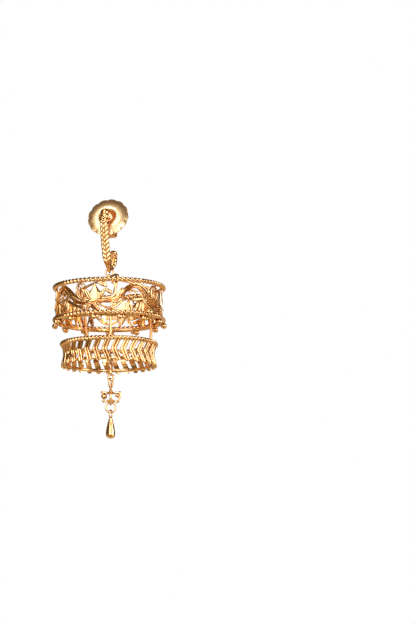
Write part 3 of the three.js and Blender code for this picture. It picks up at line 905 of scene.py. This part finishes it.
def swelling(steps, early, late):
    """How a leaf's width goes along it: the share to the power early times the rest to the power late, over
    its greatest value."""
    s = np.linspace(0.015, 0.985, steps + 1)
    width = s**early * (1 - s) ** late
    return width / width.max()


def tapering(steps, start, end):
    """How a wire's width goes along it: 1, but a quarter ellipse over the start and end shares."""
    s = np.linspace(0, 1, steps + 1)
    first = np.clip(s / max(start, 1e-6), 0.03, 1)
    last = np.clip((1 - s) / max(end, 1e-6), 0.03, 1)
    return np.sqrt(1 - (1 - first) ** 2) * np.sqrt(1 - (1 - last) ** 2)


# One repeat of the main vine, from crest to crest: degrees, height and half width.
VINE = [(-56, -5.15, 0.72), (-50, -5.85, 0.8), (-44, -7.0, 0.86), (-38, -8.1, 0.86), (-34, -8.7, 0.78),
        (-30, -9.1, 0.64), (-25, -9.35, 0.55), (-18, -9.3, 0.5), (-10, -9.15, 0.5), (-2, -9.05, 0.5),
        (4, -8.95, 0.5), (9, -8.5, 0.52), (12.5, -7.9, 0.56), (17.5, -6.75, 0.6), (22, -5.9, 0.64),
        (27, -5.3, 0.68)]

# Wires of one repeat: part, half width, the shares over which the two ends narrow, and degrees and heights.
STEMS = [
    ("left scroll", 0.27, (0.04, 0.1), [(-27.5, -4.75), (-31.5, -4.7), (-34.6, -5.0), (-35.9, -5.9),
      (-35.5, -7.0), (-33.6, -7.85), (-30.3, -8.4), (-26, -8.7), (-21, -8.65)]),
    ("scroll curl", 0.17, (0.1, 0.2), [(-27.8, -4.8), (-26.3, -5.3), (-27.8, -5.8), (-31.0, -5.85),
      (-32.6, -5.35)]),
    ("inner scroll", 0.2, (0.15, 0.1), [(-32.6, -6.1), (-33.0, -7.0), (-31.2, -7.75), (-27.5, -8.15),
      (-23, -8.15)]),
    ("right scroll", 0.3, (0.1, 0.1), [(3.0, -4.7), (7.0, -4.85), (8.0, -6.1), (7.4, -7.3), (4.3, -8.05),
      (-0.5, -8.38), (-7, -8.45)]),
    ("low stem", 0.27, (0.1, 0.02), [(-17, -9.4), (-12, -9.55), (-8.3, -9.9), (-4.2, -10.4), (-0.2, -10.65),
      (4.5, -10.6), (9, -10.25), (12.5, -9.6), (15.4, -9.0), (18.9, -8.65), (22.4, -8.45)]),
    ("bar under the rings", 0.36, (0.05, 0.05), [(21, -8.45), (26, -8.5), (31, -8.45), (36, -8.25),
      (40, -8.1), (43.5, -8.2)]),
    ("bar over the rings", 0.16, (0.1, 0.1), [(23.4, -6.9), (24.6, -6.4), (27.5, -6.35), (32, -6.5),
      (37, -6.4)]),
    ("falling stem", 0.42, (0.05, 0.02), [(40, -8.3), (46, -9.15), (51.5, -9.8), (57, -10.25),
      (64, -10.7)]),
    ("fan line", 0.14, (0.02, 0.02), [(23.6, -8.7), (24.4, -9.9), (26.4, -11.4)]),
    ("mini strut", 0.2, (0.02, 0.02), [(4.0, -9.3), (3.6, -10.6)]),
]

# Leaves of one repeat: part, foot and tip in degrees and heights, half width, how far the middle bows to the
# left of its way up, how high it is domed, and how deep its vein is.
LEAVES = [
    ("left petal", (-17.8, -8.7), (-26.0, -6.0), 0.8, 0.1, 0.3, 0.12),
    ("scroll leaf", (-32.8, -6.0), (-24.5, -7.0), 0.36, 0.1, 0.3, 0.0),
    ("right petal", (-8.6, -8.4), (-1.6, -5.9), 0.42, 0.15, 0.3, 0.1),
    ("bud", (4.6, -7.35), (-2.6, -6.2), 0.5, 0.0, 0.34, 0.0),
    ("top leaf", (-12.0, -4.3), (-0.8, -5.75), 0.72, 0.2, 0.2, 0.06),
    ("vine leaf", (8.8, -8.4), (16.2, -5.85), 0.46, 0.0, 0.26, 0.0),
    ("node leaf", (-25, -9.2), (-7, -8.95), 0.56, 0.1, 0.58, 0.0),
    ("low leaf", (-16, -9.4), (-9.5, -11.3), 0.55, 0.1, 0.34, 0.14),
    ("low leaf", (-19, -9.5), (-25, -11.4), 0.42, 0.0, 0.3, 0.1),
    ("stem leaf", (4.5, -10.3), (11.5, -9.2), 0.36, 0.0, 0.28, 0.0),
    ("fan leaf", (22.8, -8.9), (19.4, -11.6), 0.52, 0.0, 0.3, 0.0),
    ("fan leaf", (36.4, -8.5), (30.4, -11.5), 0.36, -0.1, 0.3, 0.1),
    ("fan leaf", (40.6, -8.2), (34.6, -11.5), 0.4, 0.0, 0.34, 0.0),
    ("fan leaf", (41.8, -8.4), (40.0, -11.6), 0.44, 0.0, 0.3, 0.12),
    ("side leaf", (51.5, -9.8), (48.4, -11.7), 0.5, 0.0, 0.3, 0.12),
    ("side leaf", (57, -10.0), (53.5, -11.7), 0.6, 0.0, 0.3, 0.12),
]

# Half width of the lotus petal, from its foot to its tip: height and half width.
PETAL_MIDDLE = -14.4
PETAL = [(-8.6, 1.2), (-8.2, 1.5), (-7.75, 1.68), (-7.25, 1.66), (-6.85, 1.4), (-6.4, 1.0), (-5.9, 0.66),
         (-5.4, 0.36), (-4.75, 0.06)]

# Small balls of one repeat: degrees, height and radius.
DOTS = [(-29.4, -5.28, 0.2), (22.4, -7.5, 0.3), (-20.5, -9.5, 0.3), (-11.6, -9.4, 0.3)]

# Small rings of one repeat: degrees, height and the wire's radius.
EYES = [(28.0, -7.1, 0.15), (40.4, -7.15, 0.21)]
EYE_LIFT = 0.1
EYE_REACH = 0.6
DOT_LIFT = 0.18

# How far each kind of strip goes in behind the wall's face, and how far a stem and the lotus petal stand out.
VINE_THICK = 0.3
STEM_THICK = 0.22
LEAF_THICK = 0.2
STEM_RISE = 0.32
PETAL_RISE = 0.24


def main_vine(wall_radius, repeats):
    """The vine, one closed strip round the wall. Its height and half width are the table's curves at each
    degree, again and again."""
    period = 360 / repeats
    table = [(degrees + period * k, height, half) for k in (-1, 0, 1, 2) for degrees, height, half in VINE]
    smooth = smooth_line(table, 900)
    steps = 110
    degrees = VINE[0][0] + np.arange(steps * repeats) * period / steps
    within = (degrees - VINE[0][0]) % period + VINE[0][0]
    height = np.interp(within, smooth[:, 0], smooth[:, 1])
    width = np.interp(within, smooth[:, 0], smooth[:, 2])[:, None]
    line = pattern(np.stack([degrees, height], -1), wall_radius)
    once = np.array([2 * np.pi * wall_radius, 0])
    wrapped = np.vstack([line[-1] - once, line, line[0] + once])
    ahead = unit(wrapped[2:] - wrapped[:-2])
    places = strip_places(line, ahead, width, FINE_ACROSS, vine_crest(FINE_ACROSS), VINE_THICK)
    return skin(bend(*places, 0.0, wall_radius), loop=True)


def stem(half, ends, places, turn_by, wall_radius):
    """A round-fronted wire of the vine."""
    steps = 8 * len(places)
    line = smooth_line(pattern(places, wall_radius), steps)
    width = half * tapering(steps, *ends)
    return moulding(line, width, round_crest(STEM_RISE), STEM_THICK, turn_by, wall_radius)


def leaf(foot, tip, half, bow, rise, vein, turn_by, wall_radius):
    """A domed leaf with pointed ends, bowed to one side by the sine of its share of half a turn."""
    steps = 18
    foot, tip = pattern([foot, tip], wall_radius)
    s = np.linspace(0, 1, steps + 1)[:, None]
    way = tip - foot
    side = unit(np.array([[-way[1], way[0]]]))
    line = foot + s * way + side * bow * np.sin(np.pi * s)
    width = half * swelling(steps, 0.62, 0.75)
    return moulding(line, width, leaf_crest(rise, vein), LEAF_THICK, turn_by, wall_radius)


def lotus_petal(turn_by, wall_radius):
    """The lotus's middle petal: a round-fronted bell with a drawn-out tip, its half width smoothed between
    the table's rows."""
    height, half = smooth_line(PETAL, 40).T
    line = pattern(np.stack([np.full_like(height, PETAL_MIDDLE), height], -1), wall_radius)
    return moulding(line, half, round_crest(PETAL_RISE), LEAF_THICK, turn_by, wall_radius)


def wall_ring(degrees, height, wire, turn_by, wall_radius):
    """A small ring of wire that lies on the wall."""
    cos, sin = once_round(28)
    arc, _ = pattern((degrees, height), wall_radius)
    line = bend(arc + EYE_REACH * cos, height + EYE_REACH * sin, EYE_LIFT, turn_by, wall_radius)
    return tube(line, wire, outward(line), 8, loop=True)


def vine_repeat(turn_by, wall_radius):
    """Stems, leaves, rings and dots of one repeat."""
    place = turn_by, wall_radius
    skins = [stem(*row, *place) for _, *row in STEMS]
    skins += [leaf(*row, *place) for _, *row in LEAVES]
    skins.append(lotus_petal(*place))
    skins += [wall_ring(*row, *place) for row in EYES]
    for degrees, height, radius in DOTS:
        arc, _ = pattern((degrees, height), wall_radius)
        skins.append(ball(bend(arc, height, DOT_LIFT, *place), radius, 8, 12))
    return skins


BAND_INNER = 12.0
BAND_OUTER = 12.35
BAND_SOFT = 0.1  # how far its lower edges are cut back


def inner_band():
    """A level band with softened lower edges, under the pierced wall and inside it."""
    section = [
        (BAND_INNER + BAND_SOFT, BAND_LOW),
        (BAND_OUTER - BAND_SOFT, BAND_LOW),
        (BAND_OUTER, BAND_LOW + BAND_SOFT),
        (BAND_OUTER, BAND_TOP),
        (BAND_INNER, BAND_TOP),
        (BAND_INNER, BAND_LOW + BAND_SOFT),
    ]
    return [turned(section, crown_place, 160, loop=True)]


FIRST_GRANULE = np.radians(-15.2)
# A large granule and the small one beside it: turn in degrees, drop from the rope's middle, radius from the
# crown's axis, its own radius, and its circles and sides.
GRANULE_PAIR = [(0.0, 1.12, 12.95, 0.7, 14, 22), (4.3, 1.05, 12.75, 0.46, 10, 16)]


def granules():
    """Large granules under the upper rope, each with a small one beside it."""
    number = bpy.context.scene.earring_crown.granules
    skins = []
    for k in range(number):
        angle = FIRST_GRANULE + k * 2 * np.pi / number
        for turn, drop, reach, *ball_size in GRANULE_PAIR:
            skins.append(ball(on_wall(angle + np.radians(turn), UPPER_BOTTOM - drop, reach), *ball_size))
    return skins


# ---- Lower tier ----

WAIST = -19.85
HEM = -22.1
RIB_LEAN = 5.5
RIB_HALF_WIDTH = 0.66
RIB_REACH = 10.8  # radius at which a rib's flat pattern is measured
RIB_THICK = 0.2
RIB_EDGE = 0.05  # how far a rib stands out at its edges and in its groove
RIB_RIDGE = 0.33  # how much further its two ridges stand out
RIB_FOOT = 0.4  # degrees from a rib's place to its lower end
FIRST_RIB = np.radians(1.0)
# Height and radius of the lower tier's wall.
LOWER_WALL = [(-23.0, 10.98), (HEM, 10.85), (-20.9, 10.55), (WAIST, 10.42), (-18.7, 10.6), (LOWER_TOP, 10.9)]


def lower_wall(height):
    """The lower wall's radius at a height, smoothed between the table's rows."""
    line = smooth_line(LOWER_WALL, 80)
    return np.interp(height, line[:, 0], line[:, 1])


def rib(angle):
    """A bent rib, down and aside to the waist, then down and back again past the hem. It leans by the
    cosine of its place round the tier, held between -1 and 1 once it is 2.5 times as large, so that it leans
    one way in front and the other way behind. Its front has two ridges with a groove between them: the
    square root of the sine of half a turn each way from its middle."""
    lean = RIB_LEAN * np.clip(2.5 * np.cos(angle), -1, 1)
    places = [(0, LOWER_TOP - 0.1), (-0.44 * lean, -18.55), (-0.89 * lean, -19.5), (-lean, WAIST),
              (-0.91 * lean, -20.2), (-0.4 * lean, -21.4), (RIB_FOOT, -22.85)]
    line = smooth_line(pattern(places, RIB_REACH), 44)
    width = (RIB_HALF_WIDTH * tapering(44, 0.02, 0.12))[:, None]
    front = RIB_EDGE + RIB_RIDGE * np.sqrt(np.abs(np.sin(0.98 * np.pi * FINE_ACROSS)))
    ahead = unit(np.gradient(line, axis=0))
    arc, height, lift = strip_places(line, ahead, width, FINE_ACROSS, front, RIB_THICK)
    return skin(on_wall(arc / RIB_REACH + angle, height, lower_wall(height) + lift))


def rib_wall():
    """The ribs, evenly round."""
    ribs = bpy.context.scene.earring_crown.ribs
    return [rib(FIRST_RIB + k * 2 * np.pi / ribs) for k in range(ribs)]


HEM_RADIUS = 10.46
HEM_HALF_THICK = 0.26
HEM_HALF_HEIGHT = 0.4


def hem_band():
    """The smooth band inside the ribs' lower ends, an oval in section."""
    cos, sin = once_round(16)
    section = np.stack([HEM_RADIUS - HEM_HALF_THICK * cos, HEM + HEM_HALF_HEIGHT * sin], -1)
    return [turned(section, crown_place, 160, loop=True)]


BAR_HALF = 10.4
BAR_WIRE = 0.3
BAR_TOP = -21.0


def drop_bar():
    """A wire across the lower tier's hem, bowed up in the middle by the square of the way from it."""
    y = np.linspace(-BAR_HALF, BAR_HALF, 61)
    height = BAR_TOP + (HEM - BAR_TOP) * (y / BAR_HALF) ** 2
    return [tube(crown_place(sizes_of("drop").aside, y, height), BAR_WIRE, UP, 14)]


# ---- Drop ----


def oval_link(top, low, half_width, wire, turn, taper):
    """A long link: two half circles joined by straight sides, in an upright plane turned by that angle from
    the crown's own. It narrows downwards by the taper."""
    cos, sin = once_round(48)
    bend_radius = half_width - wire
    straight = (top - low) / 2 - half_width
    up = bend_radius * sin + straight * np.sign(np.round(sin, 6))
    across = bend_radius * cos * (1 + taper * up / (straight + bend_radius))
    aside = sizes_of("drop").aside
    line = crown_place(aside + across * np.cos(turn), across * np.sin(turn), (top + low) / 2 + up)
    return tube(line, wire, square_to(turn), loop=True)


# Chain links from the bar down: top, lowest point, half width, turn in degrees, and how much it narrows.
LINKS = [
    (-20.35, -22.35, 0.8, 8, 0),
    (-21.8, -24.85, 0.62, 84, 0),
    (-24.3, -26.1, 0.9, 5, 0),
    (-25.4, -27.9, 0.76, 45, 0.4),
]


def chain_links():
    """Oval links, each turned from the one above."""
    wire = sizes_of("drop").link_wire
    links = []
    for top, low, half, turn, taper in LINKS:
        links.append(oval_link(top, low, half, wire, np.radians(turn), taper))
    return links


BEAD_MIDDLE = -29.9


def bead_place(x, y, height):
    """A point of the bead's own frame."""
    return crown_place(x + sizes_of("drop").aside, y, BEAD_MIDDLE + height)


PLATE_HEIGHT = 0.95
LOOP_DROP = 1.37
RING_RADIUS = 1.16
RING_THICK = 0.22
LOOP_WIRE = 0.22
LOOP_GAP = 0.04  # between the bead's loop and the drop ring's wire inside it
BEAD_LOOP = RING_THICK + LOOP_GAP + LOOP_WIRE

# Balls of the bead: sideways in bead radii, height, radius, and circles and sides. The knob and the ball on
# top, the large granule and the small one.
BEAD_BALLS = [
    (0, PLATE_HEIGHT + 0.42, 0.46, 12, 18),
    (0, PLATE_HEIGHT + 1.06, 0.32, 12, 18),
    (-1, 0.14, 0.72, 14, 20),
    (1, 0.36, 0.5, 12, 18),
]

# Half a plate's section: radius, and height from the plate's own, away from the bead's middle.
PLATE = [(0.05, 0.36), (0.6, 0.32), (0.95, 0.14), (1.08, -0.04), (0.95, -0.2), (0.05, -0.22)]
# The bead's wires: reach and height of their places, then their radius.
POST = [(0.75, -1.0), (0.98, -0.4), (0.98, 0.4), (0.75, 1.0)], 0.25
CURL = [(2.12, 1.04), (2.26, 0.4), (2.1, -0.2), (1.66, -1.0)], 0.22
TOP_PETAL = [(0.7, 0.95), (1.3, 1.08), (1.8, 1.04), (2.12, 1.1)], 0.24
LOW_PETAL = [(0.7, -0.95), (1.2, -1.05), (1.6, -1.0)], 0.27
# The granules at the petals' tips: reach, height and radius.
TOP_TIP = 2.12, 1.1, 0.31
LOW_TIP = 1.66, -1.02, 0.38
CURL_ANGLE = 0.06
PETAL_ANGLE = 0.12


def bead_wire(angle, places, radius):
    """A wire of the bead in an upright plane at that angle, through places of reach and height."""
    reach, climb = smooth_line(places, 26).T
    line = bead_place(reach * np.cos(angle), reach * np.sin(angle), climb)
    return tube(line, radius, square_to(angle), 8)


def flower_bead():
    """A cage of curled wires: two small plates, four petals that reach out from each and end in a granule, a
    large granule on one side and a small one in a curled wire on the other, a bowed post before and behind,
    a knob and a ball on top and a loop below."""
    radius = sizes_of("drop").bead_radius
    skins = []
    for sideways, height, *ball_size in BEAD_BALLS:
        skins.append(ball(bead_place(sideways * radius, 0.0, height), *ball_size))
    for way in (1, -1):
        plate = [(reach, way * (PLATE_HEIGHT + height)) for reach, height in PLATE]
        skins.append(turned(plate, bead_place, 30))
        skins.append(bead_wire(way * np.pi / 2, *POST))
    skins.append(bead_wire(CURL_ANGLE, *CURL))
    for k in range(4):
        angle = k * np.pi / 2 + PETAL_ANGLE
        for petal, (reach, height, size) in ((TOP_PETAL, TOP_TIP), (LOW_PETAL, LOW_TIP)):
            skins.append(bead_wire(angle, *petal))
            skins.append(ball(bead_place(reach * np.cos(angle), reach * np.sin(angle), height), size, 10, 14))
    cos, sin = once_round(36)
    loop = bead_place(0.0, BEAD_LOOP * cos, -LOOP_DROP + BEAD_LOOP * sin)
    skins.append(tube(loop, LOOP_WIRE, SIDEWAYS, loop=True))
    return skins


def drop_ring():
    """A round ring that joins the bead to the teardrop. Its wire passes through the middle of the bead's
    loop."""
    cos, sin = once_round(64)
    line = bead_place(RING_RADIUS * cos, 0.0, -LOOP_DROP - RING_RADIUS + RING_RADIUS * sin)
    return [tube(line, RING_THICK, np.array([0, 1.0, 0]), 12, loop=True)]


PEAR_TOP = -35.05
PEAR_WIDEST = 0.76  # of the length, from the top
PEAR_SQUARE = 2.5  # 2 would close the foot as an ellipse, more makes it squarer
PEAR_NECK = 0.42  # radius of the neck, over the greatest
PEAR_RIDGE = 0.16
PEAR_DEPTH = 0.86  # from front to back, over its width


def pear_shape():
    """The teardrop: its radius swells from the neck by the sine of a quarter turn, to the power 1.3, and
    closes as a slightly squared ellipse. Round it, the radius draws in by the sine of the turn times what
    the sine's sixth power leaves of 1, so that the front and the back come to a soft ridge."""
    sizes = sizes_of("drop")
    t = np.sin(np.linspace(0.0, np.pi / 2, 46)) * 0.998
    full = sizes.pear_radius
    neck = PEAR_NECK * full
    swell = np.sin(np.minimum(1, t / PEAR_WIDEST) * np.pi / 2) ** 1.3
    close = (1 - np.maximum(0, (t - PEAR_WIDEST) / (1 - PEAR_WIDEST)) ** PEAR_SQUARE) ** (1 / PEAR_SQUARE)
    profile = np.stack([(neck + (full - neck) * swell) * close, PEAR_TOP - sizes.pear_length * t], -1)

    def place(x, y, height):
        sine = np.abs(np.sin(np.arctan2(y, x)))
        ridge = 1 - PEAR_RIDGE * (1 - sine**6) * sine
        return crown_place(sizes.aside + x * ridge, y * ridge * PEAR_DEPTH, height)

    return [turned(profile, place, 56)]


PEAR_EYE_TURN = np.radians(52.0)
PEAR_EYE_WIRE = 0.17
PEAR_EYE_HALF_WIDTH = 0.52
PEAR_EYE_HALF_HEIGHT = 0.95
PEAR_EYE_RISE = 1.1  # from the teardrop's top to the eye's middle


def pear_eye():
    """The teardrop's eye: a tall narrow loop of wire, an ellipse in an upright plane."""
    cos, sin = once_round(44)
    across = PEAR_EYE_HALF_WIDTH * cos
    x = sizes_of("drop").aside + across * np.cos(PEAR_EYE_TURN)
    height = PEAR_TOP + PEAR_EYE_RISE + PEAR_EYE_HALF_HEIGHT * sin
    line = crown_place(x, across * np.sin(PEAR_EYE_TURN), height)
    return [tube(line, PEAR_EYE_WIRE, square_to(PEAR_EYE_TURN), loop=True)]


# ---- Operators ----


class EARRING_OT_hoop(bpy.types.Operator):
    """Build the ear hoop's plait of chevrons and its post"""

    bl_idname = "earring.hoop"
    bl_label = "Ear Hoop"

    def execute(self, context):
        add_piece("hoop_braid", [hoop_braid()], polished_gold(), "stud", ["ear_hoop"])
        add_piece("ear_post", ear_post(), polished_gold(), "stud")
        return {"FINISHED"}


class EARRING_OT_back(bpy.types.Operator):
    """Build the friction back's scalloped disc and its two rolls"""

    bl_idname = "earring.back"
    bl_label = "Friction Back"

    def execute(self, context):
        add_piece("back_disc", back_disc(), satin_gold(), "clutch", ["ear_back"])
        # The hollow's lining is painted shade.
        add_piece("hollow_shade_lining", hollow_shade_lining(), painted_shade_gold(), "clutch")
        add_piece("back_rolls", back_rolls(), satin_gold(), "clutch")
        return {"FINISHED"}


class EARRING_OT_hanger(bpy.types.Operator):
    """Build the jump ring, the hanger's wires and their solder"""

    bl_idname = "earring.hanger"
    bl_label = "Jump Ring and Hanger"

    def execute(self, context):
        add_piece("jump_ring_wire", jump_ring(), polished_gold(), "ring", ["jump_ring"])
        add_piece("hanger_wires", hanger_wires(), polished_gold(), "crown", ["hanger"])
        add_piece("hanger_solder", hanger_solder(), polished_gold(), "crown")
        return {"FINISHED"}


class EARRING_OT_upper_tier(bpy.types.Operator):
    """Build the upper tier's ropes, lotus vine, inner band and granules"""

    bl_idname = "earring.upper_tier"
    bl_label = "Upper Tier"

    def execute(self, context):
        group = context.scene.earring_crown
        sizes = Millimetres(group)
        ropes = []
        for height in (UPPER_TOP, UPPER_BOTTOM):
            ropes.append(rope(sizes.upper_rope_radius, height, sizes.rope, group.rope_marks))
        add_piece("upper_ropes", ropes, polished_gold(), "crown", ["upper_tier"])
        add_piece("main_vine", [main_vine(sizes.wall_radius, group.repeats)], polished_gold(), "crown")
        pieces = []
        for k in range(group.repeats):
            pieces += vine_repeat(k * 2 * np.pi / group.repeats, sizes.wall_radius)
        add_piece("vine_leaves", pieces, polished_gold(), "crown")
        add_piece("inner_band", inner_band(), hammered_gold(), "crown")
        add_piece("granules", granules(), polished_gold(), "crown")
        return {"FINISHED"}


class EARRING_OT_lower_tier(bpy.types.Operator):
    """Build the lower tier's rope, ribs, hem band and bar"""

    bl_idname = "earring.lower_tier"
    bl_label = "Lower Tier"

    def execute(self, context):
        group = context.scene.earring_crown
        sizes = Millimetres(group)
        ring = rope(sizes.lower_rope_radius, LOWER_TOP, sizes.rope, group.rope_marks)
        add_piece("lower_rope", [ring], polished_gold(), "crown", ["lower_tier"])
        add_piece("rib_wall", rib_wall(), polished_gold(), "crown")
        add_piece("hem_band", hem_band(), polished_gold(), "crown")
        add_piece("drop_bar", drop_bar(), polished_gold(), "crown")
        return {"FINISHED"}


class EARRING_OT_drop(bpy.types.Operator):
    """Build the chain, flower bead, ring and teardrop"""

    bl_idname = "earring.drop"
    bl_label = "Drop"

    def execute(self, context):
        add_piece("chain_links", chain_links(), polished_gold(), "crown", ["drop_chain"])
        add_piece("flower_cage", flower_bead(), polished_gold(), "crown", ["flower_bead"])
        add_piece("drop_ring_wire", drop_ring(), polished_gold(), "crown", ["drop_ring"])
        add_piece("pear_drop", pear_shape(), polished_gold(), "crown", ["teardrop"])
        add_piece("pear_eye", pear_eye(), polished_gold(), "crown")
        return {"FINISHED"}


# ---- Stage ----


def looking_from(azimuth, elevation):
    """The unit vector towards a viewer at that azimuth and elevation."""
    level = np.cos(elevation)
    return Vector((np.sin(azimuth) * level, -np.cos(azimuth) * level, np.sin(elevation)))


# Softboxes: name, azimuth and elevation in degrees, distance, width and height in metres, and brightness.
SOFTBOXES = [
    ("front softbox", 19, 8, 0.60, 0.50, 0.30, 1.45),
    ("strip softbox", 27, 9, 0.57, 0.09, 0.44, 6.0),
    ("window softbox", -23, 12, 0.60, 0.34, 0.48, 2.5),
    ("key softbox", -16, 43, 0.55, 0.34, 0.16, 4.8),
    ("right fill", 80, 8, 0.60, 0.24, 0.40, 3.6),
    ("left fill", -108, 0, 0.60, 0.06, 0.40, 0.4),
    ("back softbox", 180, 16, 0.70, 0.50, 0.30, 2.2),
]


def add_softbox(name, azimuth, elevation, distance, width, height, brightness, target):
    """A rectangular lamp aimed at the earring. Its power is pi times its area times its brightness."""
    lamp = bpy.data.lights.new(name, "AREA")
    lamp.shape = "RECTANGLE"
    lamp.size, lamp.size_y = width, height
    lamp.energy = np.pi * width * height * brightness
    box = add_object(name, lamp)
    back = looking_from(np.radians(azimuth), np.radians(elevation))
    box.location = target + back * distance
    box.rotation_mode = "QUATERNION"
    box.rotation_quaternion = (-back).to_track_quat("-Z", "Y")


FLOOR_HALF = 2.5  # half the floor's side, in metres


def pale_floor(level):
    """A wide pale floor, smooth and matt. In the metal's reflections it glows instead, though it is no lamp:
    a warm emission with painted pools of lighter and darker light."""
    material = bpy.data.materials.new("pale floor")
    material.use_nodes = True
    tree = material.node_tree
    shader = tree.nodes["Principled BSDF"]
    shader.inputs["Base Color"].default_value = (0.86, 0.85, 0.83, 1)
    shader.inputs["Roughness"].default_value = 0.8
    spot = add_node(tree, "TexCoord")
    pools = add_node(tree, "TexNoise", Scale=2.4, Detail=0.0)
    light = add_node(tree, "MapRange", From_Min=0.35, From_Max=0.65, To_Min=0.14, To_Max=0.9)
    # Painted light: the floor glows for glossy rays, with pools of lighter and darker light.
    glossy_glow = add_node(tree, "Emission", Color=(1, 0.74, 0.4, 1))
    path, mix = add_node(tree, "LightPath"), add_node(tree, "MixShader")
    join(
        tree,
        (spot, "Object", pools, "Vector"),
        (pools, "Fac", light, "Value"),
        (light, "Result", glossy_glow, "Strength"),
        (path, "Is Glossy Ray", mix, "Fac"),
        (shader, "BSDF", mix, 1),
        (glossy_glow, "Emission", mix, 2),
        (mix, "Shader", tree.nodes["Material Output"], "Surface"),
    )
    sides = [(-1, -1), (1, -1), (1, 1), (-1, 1)]
    mesh = bpy.data.meshes.new("floor")
    mesh.from_pydata([(x * FLOOR_HALF, y * FLOOR_HALF, level) for x, y in sides], [], [(0, 1, 2, 3)])
    mesh.materials.append(material)
    floor = add_object("floor", mesh)


def studio_air():
    """The room round the earring: white where the camera looks straight at it, a pale wash over the floor,
    dim and warm in the metal's reflections."""
    world = bpy.data.worlds.new("studio air")
    world.use_nodes = True
    bpy.context.scene.world = world
    tree = world.node_tree
    room = tree.nodes["Background"]
    room.inputs["Color"].default_value = (0.48, 0.29, 0.13, 1)
    room.inputs["Strength"].default_value = 0.27
    paper = add_node(tree, "Background", Color=(1, 1, 1, 1), Strength=1.0)
    wash = add_node(tree, "Background", Color=(1, 0.95, 0.88, 1), Strength=0.8)
    path = add_node(tree, "LightPath")
    under, mix = add_node(tree, "MixShader"), add_node(tree, "MixShader")
    join(
        tree,
        (path, "Is Diffuse Ray", under, "Fac"),
        (room, "Background", under, 1),
        (wash, "Background", under, 2),
        (path, "Is Camera Ray", mix, "Fac"),
        (under, "Shader", mix, 1),
        (paper, "Background", mix, 2),
        (mix, "Shader", tree.nodes["World Output"], "Surface"),
    )


# Where the picture's middle lies from the crown's hanging point: millimetres to the right and below.
PICTURE_RIGHT = 23.3
PICTURE_BELOW = 9.55


def add_camera():
    """A long lens at the studio's azimuth and elevation, level with the picture's middle."""
    studio = bpy.context.scene.earring_studio
    back = looking_from(studio.azimuth, studio.elevation)
    turn = (-back).to_track_quat("-Z", "Y")
    right, up = turn @ Vector((1, 0, 0)), turn @ Vector((0, 1, 0))
    hang = Vector((*CROWN_AXIS, HINGE[2])) * MM
    data = bpy.data.cameras.new("camera")
    data.lens = data.sensor_width * studio.distance / studio.field
    camera = add_object("camera", data)
    camera.location = hang + right * PICTURE_RIGHT * MM - up * PICTURE_BELOW * MM + back * studio.distance
    camera.rotation_mode = "QUATERNION"
    camera.rotation_quaternion = turn
    bpy.context.scene.camera = camera


class EARRING_OT_stage(bpy.types.Operator):
    """Set up the floor, the softboxes, the white air and the camera"""

    bl_idname = "earring.stage"
    bl_label = "Stage"

    def execute(self, context):
        low, high = CAD_BOX
        target = (low + high) / 2
        pale_floor(low.z - context.scene.earring_studio.floor_gap)
        for softbox in SOFTBOXES:
            add_softbox(*softbox, target)
        studio_air()
        add_camera()
        context.scene.view_settings.view_transform = "Standard"
        return {"FINISHED"}


class EARRING_PT_panel(bpy.types.Panel):
    """Lists the earring's sizes and the operators that build it"""

    bl_idname = "EARRING_PT_panel"
    bl_label = "Crown Drop Earring"
    bl_space_type = "VIEW_3D"
    bl_region_type = "UI"
    bl_category = "Earring"

    def draw(self, context):
        for name, group in SETTINGS.items():
            box = self.layout.box()
            for prop in group.__annotations__:
                box.prop(getattr(context.scene, name), prop)
        for operator in OPERATORS:
            self.layout.operator(operator.bl_idname)


OPERATORS = [
    EARRING_OT_stage,
    EARRING_OT_hoop,
    EARRING_OT_back,
    EARRING_OT_hanger,
    EARRING_OT_upper_tier,
    EARRING_OT_lower_tier,
    EARRING_OT_drop,
]


def register():
    for group in SETTINGS.values():
        bpy.utils.register_class(group)
    for name, group in SETTINGS.items():
        setattr(bpy.types.Scene, name, bpy.props.PointerProperty(type=group))
    for operator in OPERATORS:
        bpy.utils.register_class(operator)
    bpy.utils.register_class(EARRING_PT_panel)


def unregister():
    bpy.utils.unregister_class(EARRING_PT_panel)
    for operator in reversed(OPERATORS):
        bpy.utils.unregister_class(operator)
    for name in SETTINGS:
        delattr(bpy.types.Scene, name)
    for group in reversed(SETTINGS.values()):
        bpy.utils.unregister_class(group)


def main():
    register()
    for operator in OPERATORS:
        family, name = operator.bl_idname.split(".")
        if getattr(getattr(bpy.ops, family), name)() != {"FINISHED"}:
            raise RuntimeError(f"{operator.bl_label} was not built")


if __name__ == "__main__":
    main()
